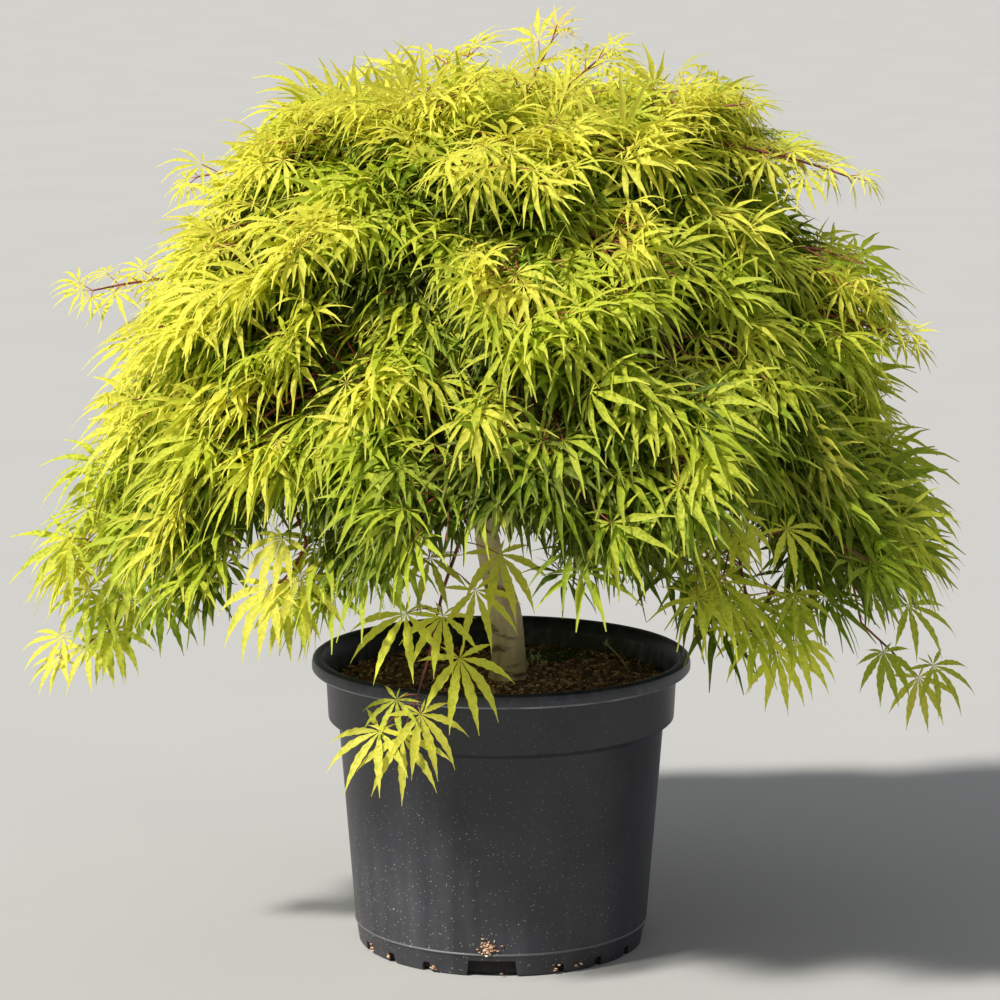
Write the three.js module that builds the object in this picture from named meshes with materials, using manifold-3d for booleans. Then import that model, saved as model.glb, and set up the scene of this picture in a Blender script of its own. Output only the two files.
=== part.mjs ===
// A weeping Japanese maple in a round plastic nursery pot, as a tree of separate closed solids.
// Millimetres, +Z up. The origin is the middle of the pot's flat underside, and -Y is the front.
// Pot and compost are turned solids. The trunk, the boughs and the stem of each mass of foliage
// are tapered limbs along curves. Each mass grows from its stem by a seeded rule and keeps to the
// space that lies nearer to its own stem than to any other.

import * as THREE from "three";
import { mergeVertices } from "three/addons/utils/BufferGeometryUtils.js";
import Module from "manifold-3d";

const wasm = await Module();
wasm.setup();

// Driving sizes of the pot
const POT_HEIGHT = 262;
const POT_SIDES = 32;
const RIM_RADIUS = 170;
const LIP_HEIGHT = 12;
const COLLAR_RADIUS = 157.5;
const COLLAR_FOOT_Z = 206;
const COLLAR_CHAMFER = 8;
const BODY_TOP_RADIUS = 146;
const FOOT_Z = 20;
const FOOT_TOP_RADIUS = 132.5;
const FOOT_RADIUS = 129;
const WALL = 2.6;
const SLOT = { count: 4, first: -3.6, low: 45, high: 41, height: 14.5, depth: 16 };
const SMALL_HOLE = { steps: [27, 45, 63], low: 10, high: 7, height: 8.5, depth: 11 };

// Driving sizes of the compost
const GAP = 0.3;
const SOIL_Z = 240;
const SOIL_EDGE_Z = 236;
const SOIL_FLAT_RADIUS = 30;

// Driving sizes of the trunk: x, y, z of its middle line and its radius there
const TRUNK_LINE = [
  { x: 6, y: 0, z: SOIL_Z + GAP, radius: 18.5 },
  { x: 6.5, y: 0, z: 256, radius: 15.8 },
  { x: 4.5, y: 0, z: 290, radius: 15 },
  { x: -2, y: -1, z: 322, radius: 13.2 },
  { x: -10.5, y: -2, z: 358, radius: 11 },
  { x: -18, y: -1, z: 410, radius: 10.2 },
  { x: -30, y: -4, z: 520, radius: 8.4 },
  { x: -26, y: -12, z: 590, radius: 7 },
  { x: -34, y: -16, z: 640, radius: 5.2 },
];
const TRUNK_SIDES = 8;
const TRUNK_RINGS = 15;

// Boughs, in whorls: where each whorl leaves the trunk and where its boughs end.
// An azimuth is counted from the front, -Y, towards the right, +X, in degrees.
const WHORLS = [
  {
    name: "low", count: 5, first: -2, from: 392, step: 10, rise: 62, reach: 190, tip: 486,
    radius: 8.2, tipRadius: 4.6,
  },
  {
    name: "middle", count: 5, first: 16, from: 468, step: 13, rise: 66, reach: 165, tip: 606,
    radius: 6.6, tipRadius: 4.2,
  },
  {
    name: "high", count: 4, first: 8, from: 560, step: 9, rise: 60, reach: 84, tip: 700,
    radius: 5, tipRadius: 3.8,
  },
];
const BOUGH_SIDES = 4;
const BOUGH_SEGMENTS = 5;

// Masses of foliage: each whorl's boughs carry two masses each, one from the tip and one from the
// side, that hang in a tier. Reach is how far out each mass's stem ends, low is the height that its
// leaves hang down to, and turn is how far round a mass is swung from its even place.
const TIERS = {
  low: {
    name: "skirt", spread: 18, arch: 30, shoulder: 0.92,
    turn: { 0: -4, 8: -2, 9: 10 },
    reach: [222, 322, 318, 378, 372, 360, 360, 372, 382, 322],
    low: [196, 392, 262, 236, 292, 322, 322, 296, 236, 256],
  },
  middle: {
    name: "mantle", spread: 18, arch: 44, shoulder: 0.9,
    turn: {},
    reach: [330, 334, 344, 346, 336, 336, 346, 344, 334, 330],
    low: [412, 404, 396, 396, 404, 404, 396, 396, 404, 412],
  },
  high: {
    name: "dome", spread: 22, arch: 64, shoulder: 0.8,
    turn: {},
    reach: [226, 232, 238, 232, 226, 232, 238, 232],
    low: [566, 560, 560, 566, 566, 560, 560, 566],
  },
};
const SIDE_STEM_AT = 0.8;
const STEM_RADIUS = 4.4;
const STEM_TIP_RADIUS = 2.4;
const STEM_SEGMENTS = 4;
const HANG = 96;

// The top masses rise from the trunk's tip
const TOP_MASSES = [
  { azimuth: 62, from: 640.3, reach: 130, top: 768, shoulder: 0.5 },
  { azimuth: 206, from: 592, reach: 120, top: 756, shoulder: 0.95 },
  { azimuth: 306, from: 608, reach: 130, top: 760, shoulder: 0.95 },
];

// Long shoots that stand out of the crown: the mass that bears each one and where it ends. Their
// leaves face the azimuth SHOOT_FACE.
const SHOOT_FACE = -10;
const SHOOTS = [
  { mass: "top_1", from: 0.3, azimuth: 84, reach: 42, z: 808 },
  { mass: "top_1", from: 0.6, azimuth: 80, reach: 114, z: 800 },
  { mass: "dome_3", from: 0.2, azimuth: 76, reach: 212, z: 776 },
  { mass: "dome_3", from: 0.55, azimuth: 78, reach: 335, z: 684 },
  { mass: "dome_7", from: 0.5, azimuth: 256, reach: 280, z: 692 },
  { mass: "dome_8", from: 0.25, azimuth: 300, reach: 150, z: 778 },
  { mass: "mantle_8", from: 0.5, azimuth: 268, reach: 362, z: 588 },
];

// Twigs and leaves
const TWIG_SIDES = 3;
const TWIG_SEGMENTS = 1;
const TWIG_AT = [0.34, 0.66];
const TWIG_ANGLE = 54;
const TWIG_LENGTH = 100;
const TWIG_RADIUS = 1.4;
const TWIG_TIP_RADIUS = 1.1;
const LEAF_LENGTH = 92;
const LEAF_THICK = 2.2;
const LEAF_STALK = 0.3;
const NECK = { angle: 150, length: 0.13 };
const LOBES = [
  { angle: 92, length: 0.62 },
  { angle: 43, length: 0.93 },
  { angle: 0, length: 1 },
  { angle: -43, length: 0.93 },
  { angle: -92, length: 0.62 },
];
const NOTCH = 0.3;
const LEAF_DROOP = 0.03;
const LEAF_PITCH = 38;
const TWIG_LEAVES = [
  { at: 0.97, angle: 0 },
  { at: 0.7, angle: 52 },
  { at: 0.42, angle: -52 },
];
const STEM_LEAVES = [
  { at: 0.3, angle: 52 },
  { at: 0.55, angle: -52 },
  { at: 0.8, angle: 52 },
  { at: 0.97, angle: 0 },
];
const SHOOT_LEAVES = [
  { at: 0.97, angle: 20 },
  { at: 0.7, angle: 60 },
];
const SHOOT_SIZE = 0.62;
const LEAF_SIZES = [1, 0.86, 0.72, 0.58];
const LEAF_TURNS = [0, 16, -16, 34, -34, 52, -52];
const LEAF_ROOM = 22;
const SPACE_MARGIN = 1.2;
const LIMB_MARGIN = 2.5;

const COLOURS = {
  pot: { color: 0x17181b, roughness: 0.55 },
  compost: { color: 0x2e1c12, roughness: 0.95 },
  bark: { color: 0x6b5a44, roughness: 0.85 },
  bough: { color: 0x4a2f26, roughness: 0.8 },
  leaf: { color: 0xa9c22c, roughness: 0.6 },
};

const UP = new THREE.Vector3(0, 0, 1);
const DEGREE = Math.PI / 180;
const mix = (a, b, t) => a + (b - a) * t;

// A repeatable random number from 0 to 1, the same in any language
function randomFrom(seed) {
  let state = seed >>> 0;
  return () => {
    state = (Math.imul(state, 1664525) + 1013904223) >>> 0;
    return state / 4294967296;
  };
}

// The point at a radius and height on the side of the crown that an azimuth names
function polar(azimuth, radius, z) {
  const a = azimuth * DEGREE;
  return new THREE.Vector3(radius * Math.sin(a), -radius * Math.cos(a), z);
}

// Solids by manifold-3d
function solidOf(geometry) {
  const plain = geometry.clone();
  plain.deleteAttribute("normal");
  plain.deleteAttribute("uv");
  const merged = mergeVertices(plain, 1e-3);
  return new wasm.Manifold(
    new wasm.Mesh({
      numProp: 3,
      vertProperties: merged.attributes.position.array,
      triVerts: new Uint32Array(merged.index.array),
    }),
  );
}

// The largest shell alone: a loose scrap is dropped and a sealed hollow is filled
function largestShell(solid) {
  return solid.decompose().sort((a, b) => b.volume() - a.volume())[0];
}

function geometryOf(solid) {
  const mesh = solid.getMesh();
  const geometry = new THREE.BufferGeometry();
  geometry.setAttribute("position", new THREE.BufferAttribute(mesh.vertProperties, 3));
  geometry.setIndex(new THREE.BufferAttribute(mesh.triVerts, 1));
  geometry.computeVertexNormals();
  return geometry;
}

// A tapered limb along a curve: a cylinder bent to it
function limb(curve, radiusAt, sides, segments) {
  const geometry = new THREE.CylinderGeometry(1, 1, 1, sides, segments);
  const frames = curve.computeFrenetFrames(segments);
  const position = geometry.attributes.position;
  const place = new THREE.Vector3();
  for (let i = 0; i < position.count; i++) {
    place.fromBufferAttribute(position, i);
    const ring = Math.round((place.y + 0.5) * segments);
    const across = place.x;
    const over = place.z;
    const radius = radiusAt(ring / segments);
    place.copy(curve.getPointAt(ring / segments));
    place.addScaledVector(frames.normals[ring], across * radius);
    place.addScaledVector(frames.binormals[ring], -over * radius);
    position.setXYZ(i, place.x, place.y, place.z);
  }
  return geometry;
}

// A point on the middle line of a limb that is made of straight segments
function onLimb(curve, segments, share) {
  const k = Math.min(Math.floor(share * segments), segments - 1);
  const near = curve.getPointAt(k / segments);
  return near.lerp(curve.getPointAt((k + 1) / segments), share * segments - k);
}

function turned(profile, sides) {
  const points = profile.map(([r, z]) => new THREE.Vector2(r, z));
  return new THREE.LatheGeometry(points, sides).rotateX(Math.PI / 2);
}

// The pot's inner wall, from the floor up: radius and height
const POT_INSIDE = [
  [FOOT_RADIUS + 1 - WALL, WALL],
  [BODY_TOP_RADIUS - WALL, COLLAR_FOOT_Z - COLLAR_CHAMFER + 1],
  [COLLAR_RADIUS - 3.5 - WALL, COLLAR_FOOT_Z + COLLAR_CHAMFER + 1],
  [COLLAR_RADIUS - WALL, POT_HEIGHT - 5],
];

// The pot: a turned shell with a lip, a stepped collar, a foot line and drainage slots
function potSolid() {
  const lipFoot = POT_HEIGHT - LIP_HEIGHT;
  const outside = [
    [0, 0],
    [FOOT_RADIUS, 0],
    [FOOT_TOP_RADIUS - 1, FOOT_Z - 1],
    [FOOT_TOP_RADIUS + 0.4, FOOT_Z],
    [BODY_TOP_RADIUS, COLLAR_FOOT_Z - COLLAR_CHAMFER],
    [COLLAR_RADIUS - 3.5, COLLAR_FOOT_Z + COLLAR_CHAMFER],
    [COLLAR_RADIUS, lipFoot + 1],
    [RIM_RADIUS - 1, lipFoot],
    [RIM_RADIUS, lipFoot + 2],
    [RIM_RADIUS - 1, POT_HEIGHT - 2],
    [RIM_RADIUS - 4.5, POT_HEIGHT],
    [COLLAR_RADIUS - 0.5, POT_HEIGHT - 2],
  ];
  const inside = [...POT_INSIDE].reverse();
  let pot = solidOf(turned([...outside, ...inside, [0, WALL]], POT_SIDES));
  for (let k = 0; k < SLOT.count; k++) {
    const azimuth = SLOT.first + (360 / SLOT.count) * k;
    pot = pot.subtract(drain(SLOT, azimuth));
    for (const step of SMALL_HOLE.steps) pot = pot.subtract(drain(SMALL_HOLE, azimuth - step));
  }
  return pot;
}

// A drainage cut through the corner of wall and floor: a block that narrows towards its top
function drain(size, azimuth) {
  const below = 2;
  const outline = new THREE.Shape([
    new THREE.Vector2(-size.low / 2, -below),
    new THREE.Vector2(size.low / 2, -below),
    new THREE.Vector2(size.high / 2, size.height),
    new THREE.Vector2(-size.high / 2, size.height),
  ]);
  const block = new THREE.ExtrudeGeometry(outline, { depth: size.depth + 8, bevelEnabled: false });
  block.rotateX(Math.PI / 2);
  block.translate(0, -(FOOT_RADIUS - size.depth), 0);
  block.rotateZ(azimuth * DEGREE);
  return solidOf(block);
}

// The compost fills the pot to just below the lip, a hair clear of the wall, and rises a little
// towards the trunk
function compostSolid() {
  const [floor, shoulder, step, lip] = POT_INSIDE.map(([r, z]) => [r - GAP - 0.1, z]);
  const share = (SOIL_EDGE_Z - step[1]) / (lip[1] - step[1]);
  const edge = [mix(step[0], lip[0], share), SOIL_EDGE_Z];
  const profile = [
    [0, WALL + GAP],
    [floor[0], WALL + GAP],
    shoulder,
    step,
    edge,
    [SOIL_FLAT_RADIUS, SOIL_Z],
    [0, SOIL_Z],
  ];
  return solidOf(turned(profile, POT_SIDES));
}

// The trunk's middle line and its radius at a share of its length
const trunkCurve = new THREE.CatmullRomCurve3(
  TRUNK_LINE.map((p) => new THREE.Vector3(p.x, p.y, p.z)),
);
function trunkAtHeight(z) {
  const upper = TRUNK_LINE.findIndex((p) => p.z >= z);
  const k = Math.max(1, upper < 0 ? TRUNK_LINE.length - 1 : upper);
  const [a, b] = [TRUNK_LINE[k - 1], TRUNK_LINE[k]];
  const t = THREE.MathUtils.clamp((z - a.z) / (b.z - a.z), 0, 1);
  const point = new THREE.Vector3(mix(a.x, b.x, t), mix(a.y, b.y, t), z);
  return { point, radius: mix(a.radius, b.radius, t) };
}
function trunkGeometry(extra) {
  const radiusAt = (u) => trunkAtHeight(trunkCurve.getPointAt(u).z).radius + extra;
  const geometry = limb(trunkCurve, radiusAt, TRUNK_SIDES, TRUNK_RINGS);
  const position = geometry.attributes.position;
  for (let i = 0; i < position.count; i++)
    if (position.getZ(i) < SOIL_Z + 4) position.setZ(i, SOIL_Z + GAP - extra);
  return geometry;
}

// The line that a bough follows: out of the trunk, up over a shoulder and on to its tip
function boughs() {
  const made = [];
  for (const whorl of WHORLS)
    for (let k = 0; k < whorl.count; k++) {
      const azimuth = whorl.first + (360 / whorl.count) * k;
      const foot = trunkAtHeight(whorl.from + whorl.step * ((k * 2) % whorl.count)).point;
      const tip = polar(azimuth, whorl.reach, whorl.tip);
      const middle = polar(azimuth, whorl.reach * 0.45, foot.z + whorl.rise * 1.4);
      middle.add(new THREE.Vector3(foot.x * 0.5, foot.y * 0.5, 0));
      made.push({
        name: `bough_${whorl.name}_${k + 1}`, whorl: whorl.name, index: k, azimuth,
        curve: new THREE.QuadraticBezierCurve3(foot, middle, tip),
        radius: whorl.radius, tipRadius: whorl.tipRadius,
      });
    }
  return made;
}
function boughGeometry(bough, extra) {
  const radiusAt = (u) => mix(bough.radius, bough.tipRadius, u) + extra;
  return limb(bough.curve, radiusAt, BOUGH_SIDES, BOUGH_SEGMENTS);
}

// The stems that the masses of foliage grow from
function stems(boughList) {
  const made = [];
  for (const bough of boughList) {
    const tier = TIERS[bough.whorl];
    for (const side of [0, 1]) {
      const index = bough.index * 2 + side;
      const spread = side ? tier.spread : -tier.spread;
      const azimuth = bough.azimuth + spread + (tier.turn[index] ?? 0);
      const tangent = bough.curve.getTangent(1);
      const start = side
        ? onLimb(bough.curve, BOUGH_SEGMENTS, SIDE_STEM_AT)
        : bough.curve.getPoint(1).addScaledVector(tangent, GAP);
      const reach = tier.reach[index];
      const end = polar(azimuth, reach, tier.low[index] + HANG);
      const shoulder = polar(azimuth, reach * tier.shoulder, start.z + tier.arch);
      made.push({
        name: `${tier.name}_${index + 1}`, bough: bough.name,
        curve: new THREE.QuadraticBezierCurve3(start, shoulder, end), seed: made.length + 1,
      });
    }
  }
  TOP_MASSES.forEach((mass, k) => {
    const start = trunkAtHeight(mass.from).point;
    const end = polar(mass.azimuth, mass.reach, mass.top - 40);
    const shoulder = polar(mass.azimuth, mass.reach * mass.shoulder, mass.top + 30);
    made.push({
      name: `top_${k + 1}`, bough: "trunk",
      curve: new THREE.QuadraticBezierCurve3(start, shoulder, end), seed: made.length + 1,
    });
  });
  return made;
}

// Distance from a point to a line of points
const nearest = new THREE.Vector3();
const segment = new THREE.Line3();
function distanceTo(line, point) {
  let least = Infinity;
  for (let i = 1; i < line.length; i++) {
    segment.set(line[i - 1], line[i]).closestPointToPoint(point, true, nearest);
    least = Math.min(least, nearest.distanceTo(point));
  }
  return least;
}

// The stem's own directions at a share of its length: along it, out of the crown, and sideways
function stemFrame(curve, t) {
  const along = curve.getTangentAt(t);
  const sideways = new THREE.Vector3().crossVectors(along, UP).normalize();
  const outward = new THREE.Vector3().crossVectors(sideways, along).normalize();
  return { along, outward, sideways };
}

const boughList = boughs();
const stemList = stems(boughList);
const stemLines = new Map(stemList.map((s) => [s.name, s.curve.getPoints(10)]));
const limbs = [
  ...boughList.map((b) => ({ line: b.curve.getPoints(12), radius: b.radius })),
  { line: trunkCurve.getPoints(30), radius: 9 },
];

// Whether a point lies in the space of a mass: nearest to its stem, and clear of limbs and pot
function inSpace(name, point) {
  if (point.z < POT_HEIGHT + 14 && Math.hypot(point.x, point.y) < RIM_RADIUS + 6) return false;
  const own = distanceTo(stemLines.get(name), point) + SPACE_MARGIN;
  for (const [other, line] of stemLines)
    if (other !== name && distanceTo(line, point) < own + SPACE_MARGIN) return false;
  return limbs.every((l) => distanceTo(l.line, point) > l.radius + LIMB_MARGIN);
}

// Whether a twig keeps to its mass's space, with room for a leaf beyond its end
function fits(name, curve) {
  const tests = [0.3, 0.5, 0.7, 0.85, 1].map((u) => curve.getPoint(u));
  tests.push(curve.getPoint(1).addScaledVector(curve.getTangent(1), LEAF_ROOM));
  return tests.every((point) => inSpace(name, point));
}

// A leaf: a flat star of five lobes, thick in the middle. It is a sphere of two rows of faces whose
// equator is drawn out to the outline: the foot of the stalk, then lobe tips with notches between.
function leafOutline(foot, centre, middle, normal, size) {
  const side = new THREE.Vector3().crossVectors(middle, normal).normalize();
  const spoke = (angle, length) =>
    centre
      .clone()
      .addScaledVector(middle, Math.cos(angle * DEGREE) * length * size)
      .addScaledVector(side, Math.sin(angle * DEGREE) * length * size);
  const outline = [foot.clone(), spoke(NECK.angle, NECK.length)];
  LOBES.forEach((lobe, k) => {
    if (k) outline.push(spoke((lobe.angle + LOBES[k - 1].angle) / 2, NOTCH));
    outline.push(spoke(lobe.angle, lobe.length).addScaledVector(normal, -LEAF_DROOP * size));
  });
  outline.push(spoke(-NECK.angle, NECK.length));
  return outline;
}
function leafGeometry(leaf) {
  const points = leaf.outline.length;
  const geometry = new THREE.SphereGeometry(1, points, 2);
  const position = geometry.attributes.position;
  for (let i = 0; i < position.count; i++) {
    const row = Math.floor(i / (points + 1));
    const point =
      row === 1
        ? leaf.outline[(i % (points + 1)) % points]
        : leaf.centre.clone().addScaledVector(leaf.normal, (row ? -0.5 : 0.5) * LEAF_THICK);
    position.setXYZ(i, point.x, point.y, point.z);
  }
  return geometry;
}

// The largest leaf that fits in its mass's space and crosses no leaf that is there already,
// turned a little in its plane where that helps, or none
function placeLeaf(name, foot, direction, normal, largest, others) {
  for (const share of LEAF_SIZES)
    for (const turn of LEAF_TURNS) {
      const size = LEAF_LENGTH * share * largest;
      const middle = direction.clone().applyAxisAngle(normal, turn * DEGREE);
      middle.addScaledVector(normal, -normal.dot(middle)).normalize();
      const centre = foot.clone().addScaledVector(middle, LEAF_STALK * size);
      const outline = leafOutline(foot, centre, middle, normal, size);
      const tests = outline.flatMap((p, k) =>
        k ? [p, p.clone().lerp(centre, 0.33), p.clone().lerp(centre, 0.66)] : [],
      );
      if (!tests.every((p) => inSpace(name, p))) continue;
      const solid = solidOf(leafGeometry({ outline, centre, normal }));
      if (others.every((other) => other.intersect(solid).isEmpty())) return solid;
    }
  return null;
}

// The way that the leaves on a limb face: outward, pitched forward, so that they hang like shingles
function leafFace(along, outward) {
  return outward
    .clone()
    .multiplyScalar(Math.cos(LEAF_PITCH * DEGREE))
    .addScaledVector(along, Math.sin(LEAF_PITCH * DEGREE))
    .normalize();
}

// The twigs of a mass: opposite pairs along the stem, and its long shoots
function twigsOf(stem) {
  const random = randomFrom(stem.seed * 7919);
  const made = [];
  for (const at of TWIG_AT)
    for (const side of [-1, 1]) {
      const t = at + (random() - 0.5) * 0.08;
      const { along, outward, sideways } = stemFrame(stem.curve, t);
      const angle = (TWIG_ANGLE + (random() - 0.5) * 16) * DEGREE;
      const length = TWIG_LENGTH * (0.8 + 0.4 * random());
      const direction = along
        .clone()
        .multiplyScalar(Math.cos(angle))
        .addScaledVector(sideways, side * Math.sin(angle))
        .addScaledVector(outward, 0.12);
      for (const share of [1, 0.75, 0.5, 0.3]) {
        const start = onLimb(stem.curve, STEM_SEGMENTS, t);
        const end = start.clone().addScaledVector(direction, length * share);
        end.z -= 0.16 * length * share;
        const bend = start.clone().addScaledVector(direction, 0.55 * length * share);
        bend.addScaledVector(outward, 0.1 * length * share);
        const curve = new THREE.QuadraticBezierCurve3(start, bend, end);
        if (fits(stem.name, curve)) {
          made.push({ curve, outward, side, leaves: TWIG_LEAVES, size: 1 });
          break;
        }
      }
    }
  for (const shoot of SHOOTS.filter((s) => s.mass === stem.name)) {
    const start = onLimb(stem.curve, STEM_SEGMENTS, shoot.from);
    const end = polar(shoot.azimuth, shoot.reach, shoot.z);
    const bend = start.clone().lerp(end, 0.55);
    bend.z += 12;
    const outward = polar(SHOOT_FACE, 1, 0.4).normalize();
    const curve = new THREE.QuadraticBezierCurve3(start, bend, end);
    const side = shoot.azimuth < 180 ? -1 : 1;
    if (fits(stem.name, curve))
      made.push({ curve, outward, side, leaves: SHOOT_LEAVES, size: SHOOT_SIZE });
  }
  return made;
}

// The leaves of a mass: by turns to the left and right of each twig and of the stem, and at the end
function leavesOf(stem, twigs) {
  const leaves = [];
  const add = (curve, segments, at, angle, normal, largest) => {
    const direction = curve.getTangentAt(at).applyAxisAngle(normal, angle * DEGREE);
    const foot = onLimb(curve, segments, at);
    const leaf = placeLeaf(stem.name, foot, direction, normal, largest, leaves);
    if (leaf) leaves.push(leaf);
  };
  for (const twig of twigs) {
    const chord = twig.curve.getPoint(1).sub(twig.curve.getPoint(0)).normalize();
    const normal = leafFace(chord, twig.outward);
    for (const { at, angle } of twig.leaves)
      add(twig.curve, TWIG_SEGMENTS, at, angle * twig.side, normal, twig.size);
  }
  for (const { at, angle } of STEM_LEAVES) {
    const { along, outward } = stemFrame(stem.curve, at);
    add(stem.curve, STEM_SEGMENTS, at, angle, leafFace(along, outward), 1);
  }
  return leaves;
}

function massSolid(stem, cutter) {
  const radiusAt = (u) => mix(STEM_RADIUS, STEM_TIP_RADIUS, u);
  const twigs = twigsOf(stem);
  const leaves = leavesOf(stem, twigs);
  const twigRadiusAt = (u) => mix(TWIG_RADIUS, TWIG_TIP_RADIUS, u);
  const wood = [
    limb(stem.curve, radiusAt, TWIG_SIDES, STEM_SEGMENTS),
    ...twigs.map((twig) => limb(twig.curve, twigRadiusAt, TWIG_SIDES, TWIG_SEGMENTS)),
  ];
  const solid = wasm.Manifold.union([...wood.map(solidOf), ...leaves]);
  return largestShell(solid.subtract(cutter));
}

function meshOf(name, solid, look) {
  const material = new THREE.MeshStandardMaterial({ ...COLOURS[look], metalness: 0, flatShading: true });
  const mesh = new THREE.Mesh(geometryOf(solid), material);
  mesh.name = name;
  return mesh;
}

const maple = new THREE.Group();
maple.add(meshOf("pot", potSolid(), "pot"));
maple.add(meshOf("compost", compostSolid(), "compost"));
maple.add(meshOf("trunk", solidOf(trunkGeometry(0)), "bark"));

const trunkCutter = solidOf(trunkGeometry(GAP));
const boughCutters = new Map([["trunk", trunkCutter]]);
for (const bough of boughList) {
  const solid = largestShell(solidOf(boughGeometry(bough, 0)).subtract(trunkCutter));
  boughCutters.set(bough.name, solidOf(boughGeometry(bough, GAP)));
  maple.add(meshOf(bough.name, solid, "bough"));
}

for (const stem of stemList)
  maple.add(meshOf(stem.name, massSolid(stem, boughCutters.get(stem.bough)), "leaf"));

export default maple;
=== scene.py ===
"""A weeping maple in a nursery pot: its bark, twigs, leaves, compost and plastic.

Metres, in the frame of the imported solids: +Z up, the front towards -Y, the origin in the middle of
the pot's flat underside. The plant grows by the rule of the solids' source, carried to finer twigs.
"""

import functools
import math

import bpy
import numpy as np
from bpy.props import FloatProperty, FloatVectorProperty, IntProperty, PointerProperty
from mathutils import Matrix, Vector


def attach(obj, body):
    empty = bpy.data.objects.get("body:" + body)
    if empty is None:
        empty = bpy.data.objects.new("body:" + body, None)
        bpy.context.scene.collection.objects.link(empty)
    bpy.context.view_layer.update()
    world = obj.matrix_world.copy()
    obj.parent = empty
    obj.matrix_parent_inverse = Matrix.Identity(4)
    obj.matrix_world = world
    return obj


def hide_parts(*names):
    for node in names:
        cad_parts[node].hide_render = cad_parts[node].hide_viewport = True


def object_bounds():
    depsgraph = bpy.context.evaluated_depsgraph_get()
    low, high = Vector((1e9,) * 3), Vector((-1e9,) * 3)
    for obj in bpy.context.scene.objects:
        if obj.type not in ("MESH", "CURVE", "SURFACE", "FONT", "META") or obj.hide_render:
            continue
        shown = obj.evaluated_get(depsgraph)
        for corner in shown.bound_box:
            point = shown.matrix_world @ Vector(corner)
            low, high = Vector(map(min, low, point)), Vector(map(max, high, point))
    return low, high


bl_info = {
    "name": "Potted weeping maple",
    "version": (1, 0, 0),
    "blender": (4, 5, 0),
    "location": "3D View > Sidebar > Maple",
    "description": "Dresses the frame of a potted weeping maple, piece by piece",
    "category": "Add Mesh",
}

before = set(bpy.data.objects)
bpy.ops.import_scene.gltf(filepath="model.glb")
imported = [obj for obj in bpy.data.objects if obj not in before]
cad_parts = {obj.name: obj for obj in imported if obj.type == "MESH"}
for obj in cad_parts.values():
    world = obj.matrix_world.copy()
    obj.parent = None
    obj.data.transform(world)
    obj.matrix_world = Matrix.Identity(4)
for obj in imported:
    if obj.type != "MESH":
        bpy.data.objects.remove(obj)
CAD_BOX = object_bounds()
BODY = "root"

# The pot: radii and heights of its outline, with the inside as radius and height, which the compost
# follows. The bevel's width and the angles in degrees from which edges are bevelled and stay sharp.
POT_SIDES = 192
BEVEL_WIDTH = 0.0006
BEVEL_ANGLE = 32
SHARP_ANGLE = 30
FOOT_RECESS = 0.0012
COLLAR_RADIUS = 0.1575
COLLAR_FOOT = 0.2062
LIP_FOOT = 0.2496
BODY_TOP_RADIUS = 0.1459
FOOT_LINE = 0.020
FOOT_LINE_RADIUS = 0.1321
POT_INSIDE = [(0.1274, 0.0026), (0.1434, 0.199), (0.1514, 0.215), (0.1549, 0.250)]

# Drainage cuts through the foot: their places round it in degrees, how wide they are low down and
# high up, and how far they go up and in. Each block that cuts them reaches out below and outside.
SLOT = {"count": 4, "first": -3.6, "low": 0.045, "high": 0.041, "height": 0.0145, "depth": 0.016}
SMALL_HOLE = {"steps": (27, 45, 63), "low": 0.010, "high": 0.007, "height": 0.0085, "depth": 0.011}
CUT_BELOW = 0.002
CUT_OUTSIDE = 0.008

# Where the plastic's finish changes: the radius between the wall's inside and outside, the height
# where the painted dapples of light over the compost start, where the lip starts, and the low and
# high limits of the lip's painted edge highlight and of the dust on the foot line. Each is the start
# and the end of a soft change.
WALL_TURN = (0.1560, 0.1565)
DAPPLE_START = (0.232, 0.236)
LIP_START = (LIP_FOOT - 0.0004, LIP_FOOT + 0.0004)
EDGE_HIGHLIGHT = ((LIP_FOOT - 0.0002, LIP_FOOT + 0.0002), (LIP_FOOT + 0.0012, LIP_FOOT + 0.0022))
DUSTY_LINE = ((FOOT_LINE - 0.0014, FOOT_LINE - 0.0004), (FOOT_LINE + 0.0006, FOOT_LINE + 0.0016))

# Pale specks on the wall: how many cells to a metre, a speck's radius in cells, and the share of
# cells that stay bare
SPECKS = ((340, 0.15, 0.40), (190, 0.11, 0.52), (95, 0.070, 0.66))

# The compost's surface: its height at the edge and in the middle, how finely it is divided, and its
# clods as size and strength. Only what lies over CLODS_FROM is rough.
SOIL_EDGE = 0.2360
SOIL_MIDDLE = 0.2395
SOIL_RADIUS = 0.1534
SOIL_RINGS = 44
SOIL_SIDES = 144
CLODS = ((0.012, 0.005), (0.0035, 0.0022))
CLODS_FROM = SOIL_EDGE - 0.0005

# How far the compost keeps clear of the pot's wall and floor, and how its edge is rounded, inwards
# and down
SOIL_GAP = 0.0005
SOIL_FLOOR_GAP = 0.0004
SOIL_ROUND = (0.0012, 0.002)

# Loose chips: tone, share of all chips and size. They keep clear of the wall and of a small share of
# the surface round the trunk, and lie a little proud of it. A size varies by a factor between two.
CHIPS = (("brown", 0.46, 0.0048), ("tan", 0.40, 0.0037), ("pale", 0.14, 0.0031))
CHIP = {"wall": 0.004, "trunk": 0.012, "proud": 0.0012, "uneven": 0.38, "factors": (0.4, 2.2)}

# A patch of moss: its middle and reach along X and Y, and its tufts, with how ragged its edge is
MOSS = {
    "x": 0.048, "y": 0.096, "width": 0.034, "depth": 0.030, "ragged": (0.8, 1.2),
    "tufts": 460, "tuft": 0.0042, "factors": (0.5, 1.4), "proud": 0.0016,
}

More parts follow.
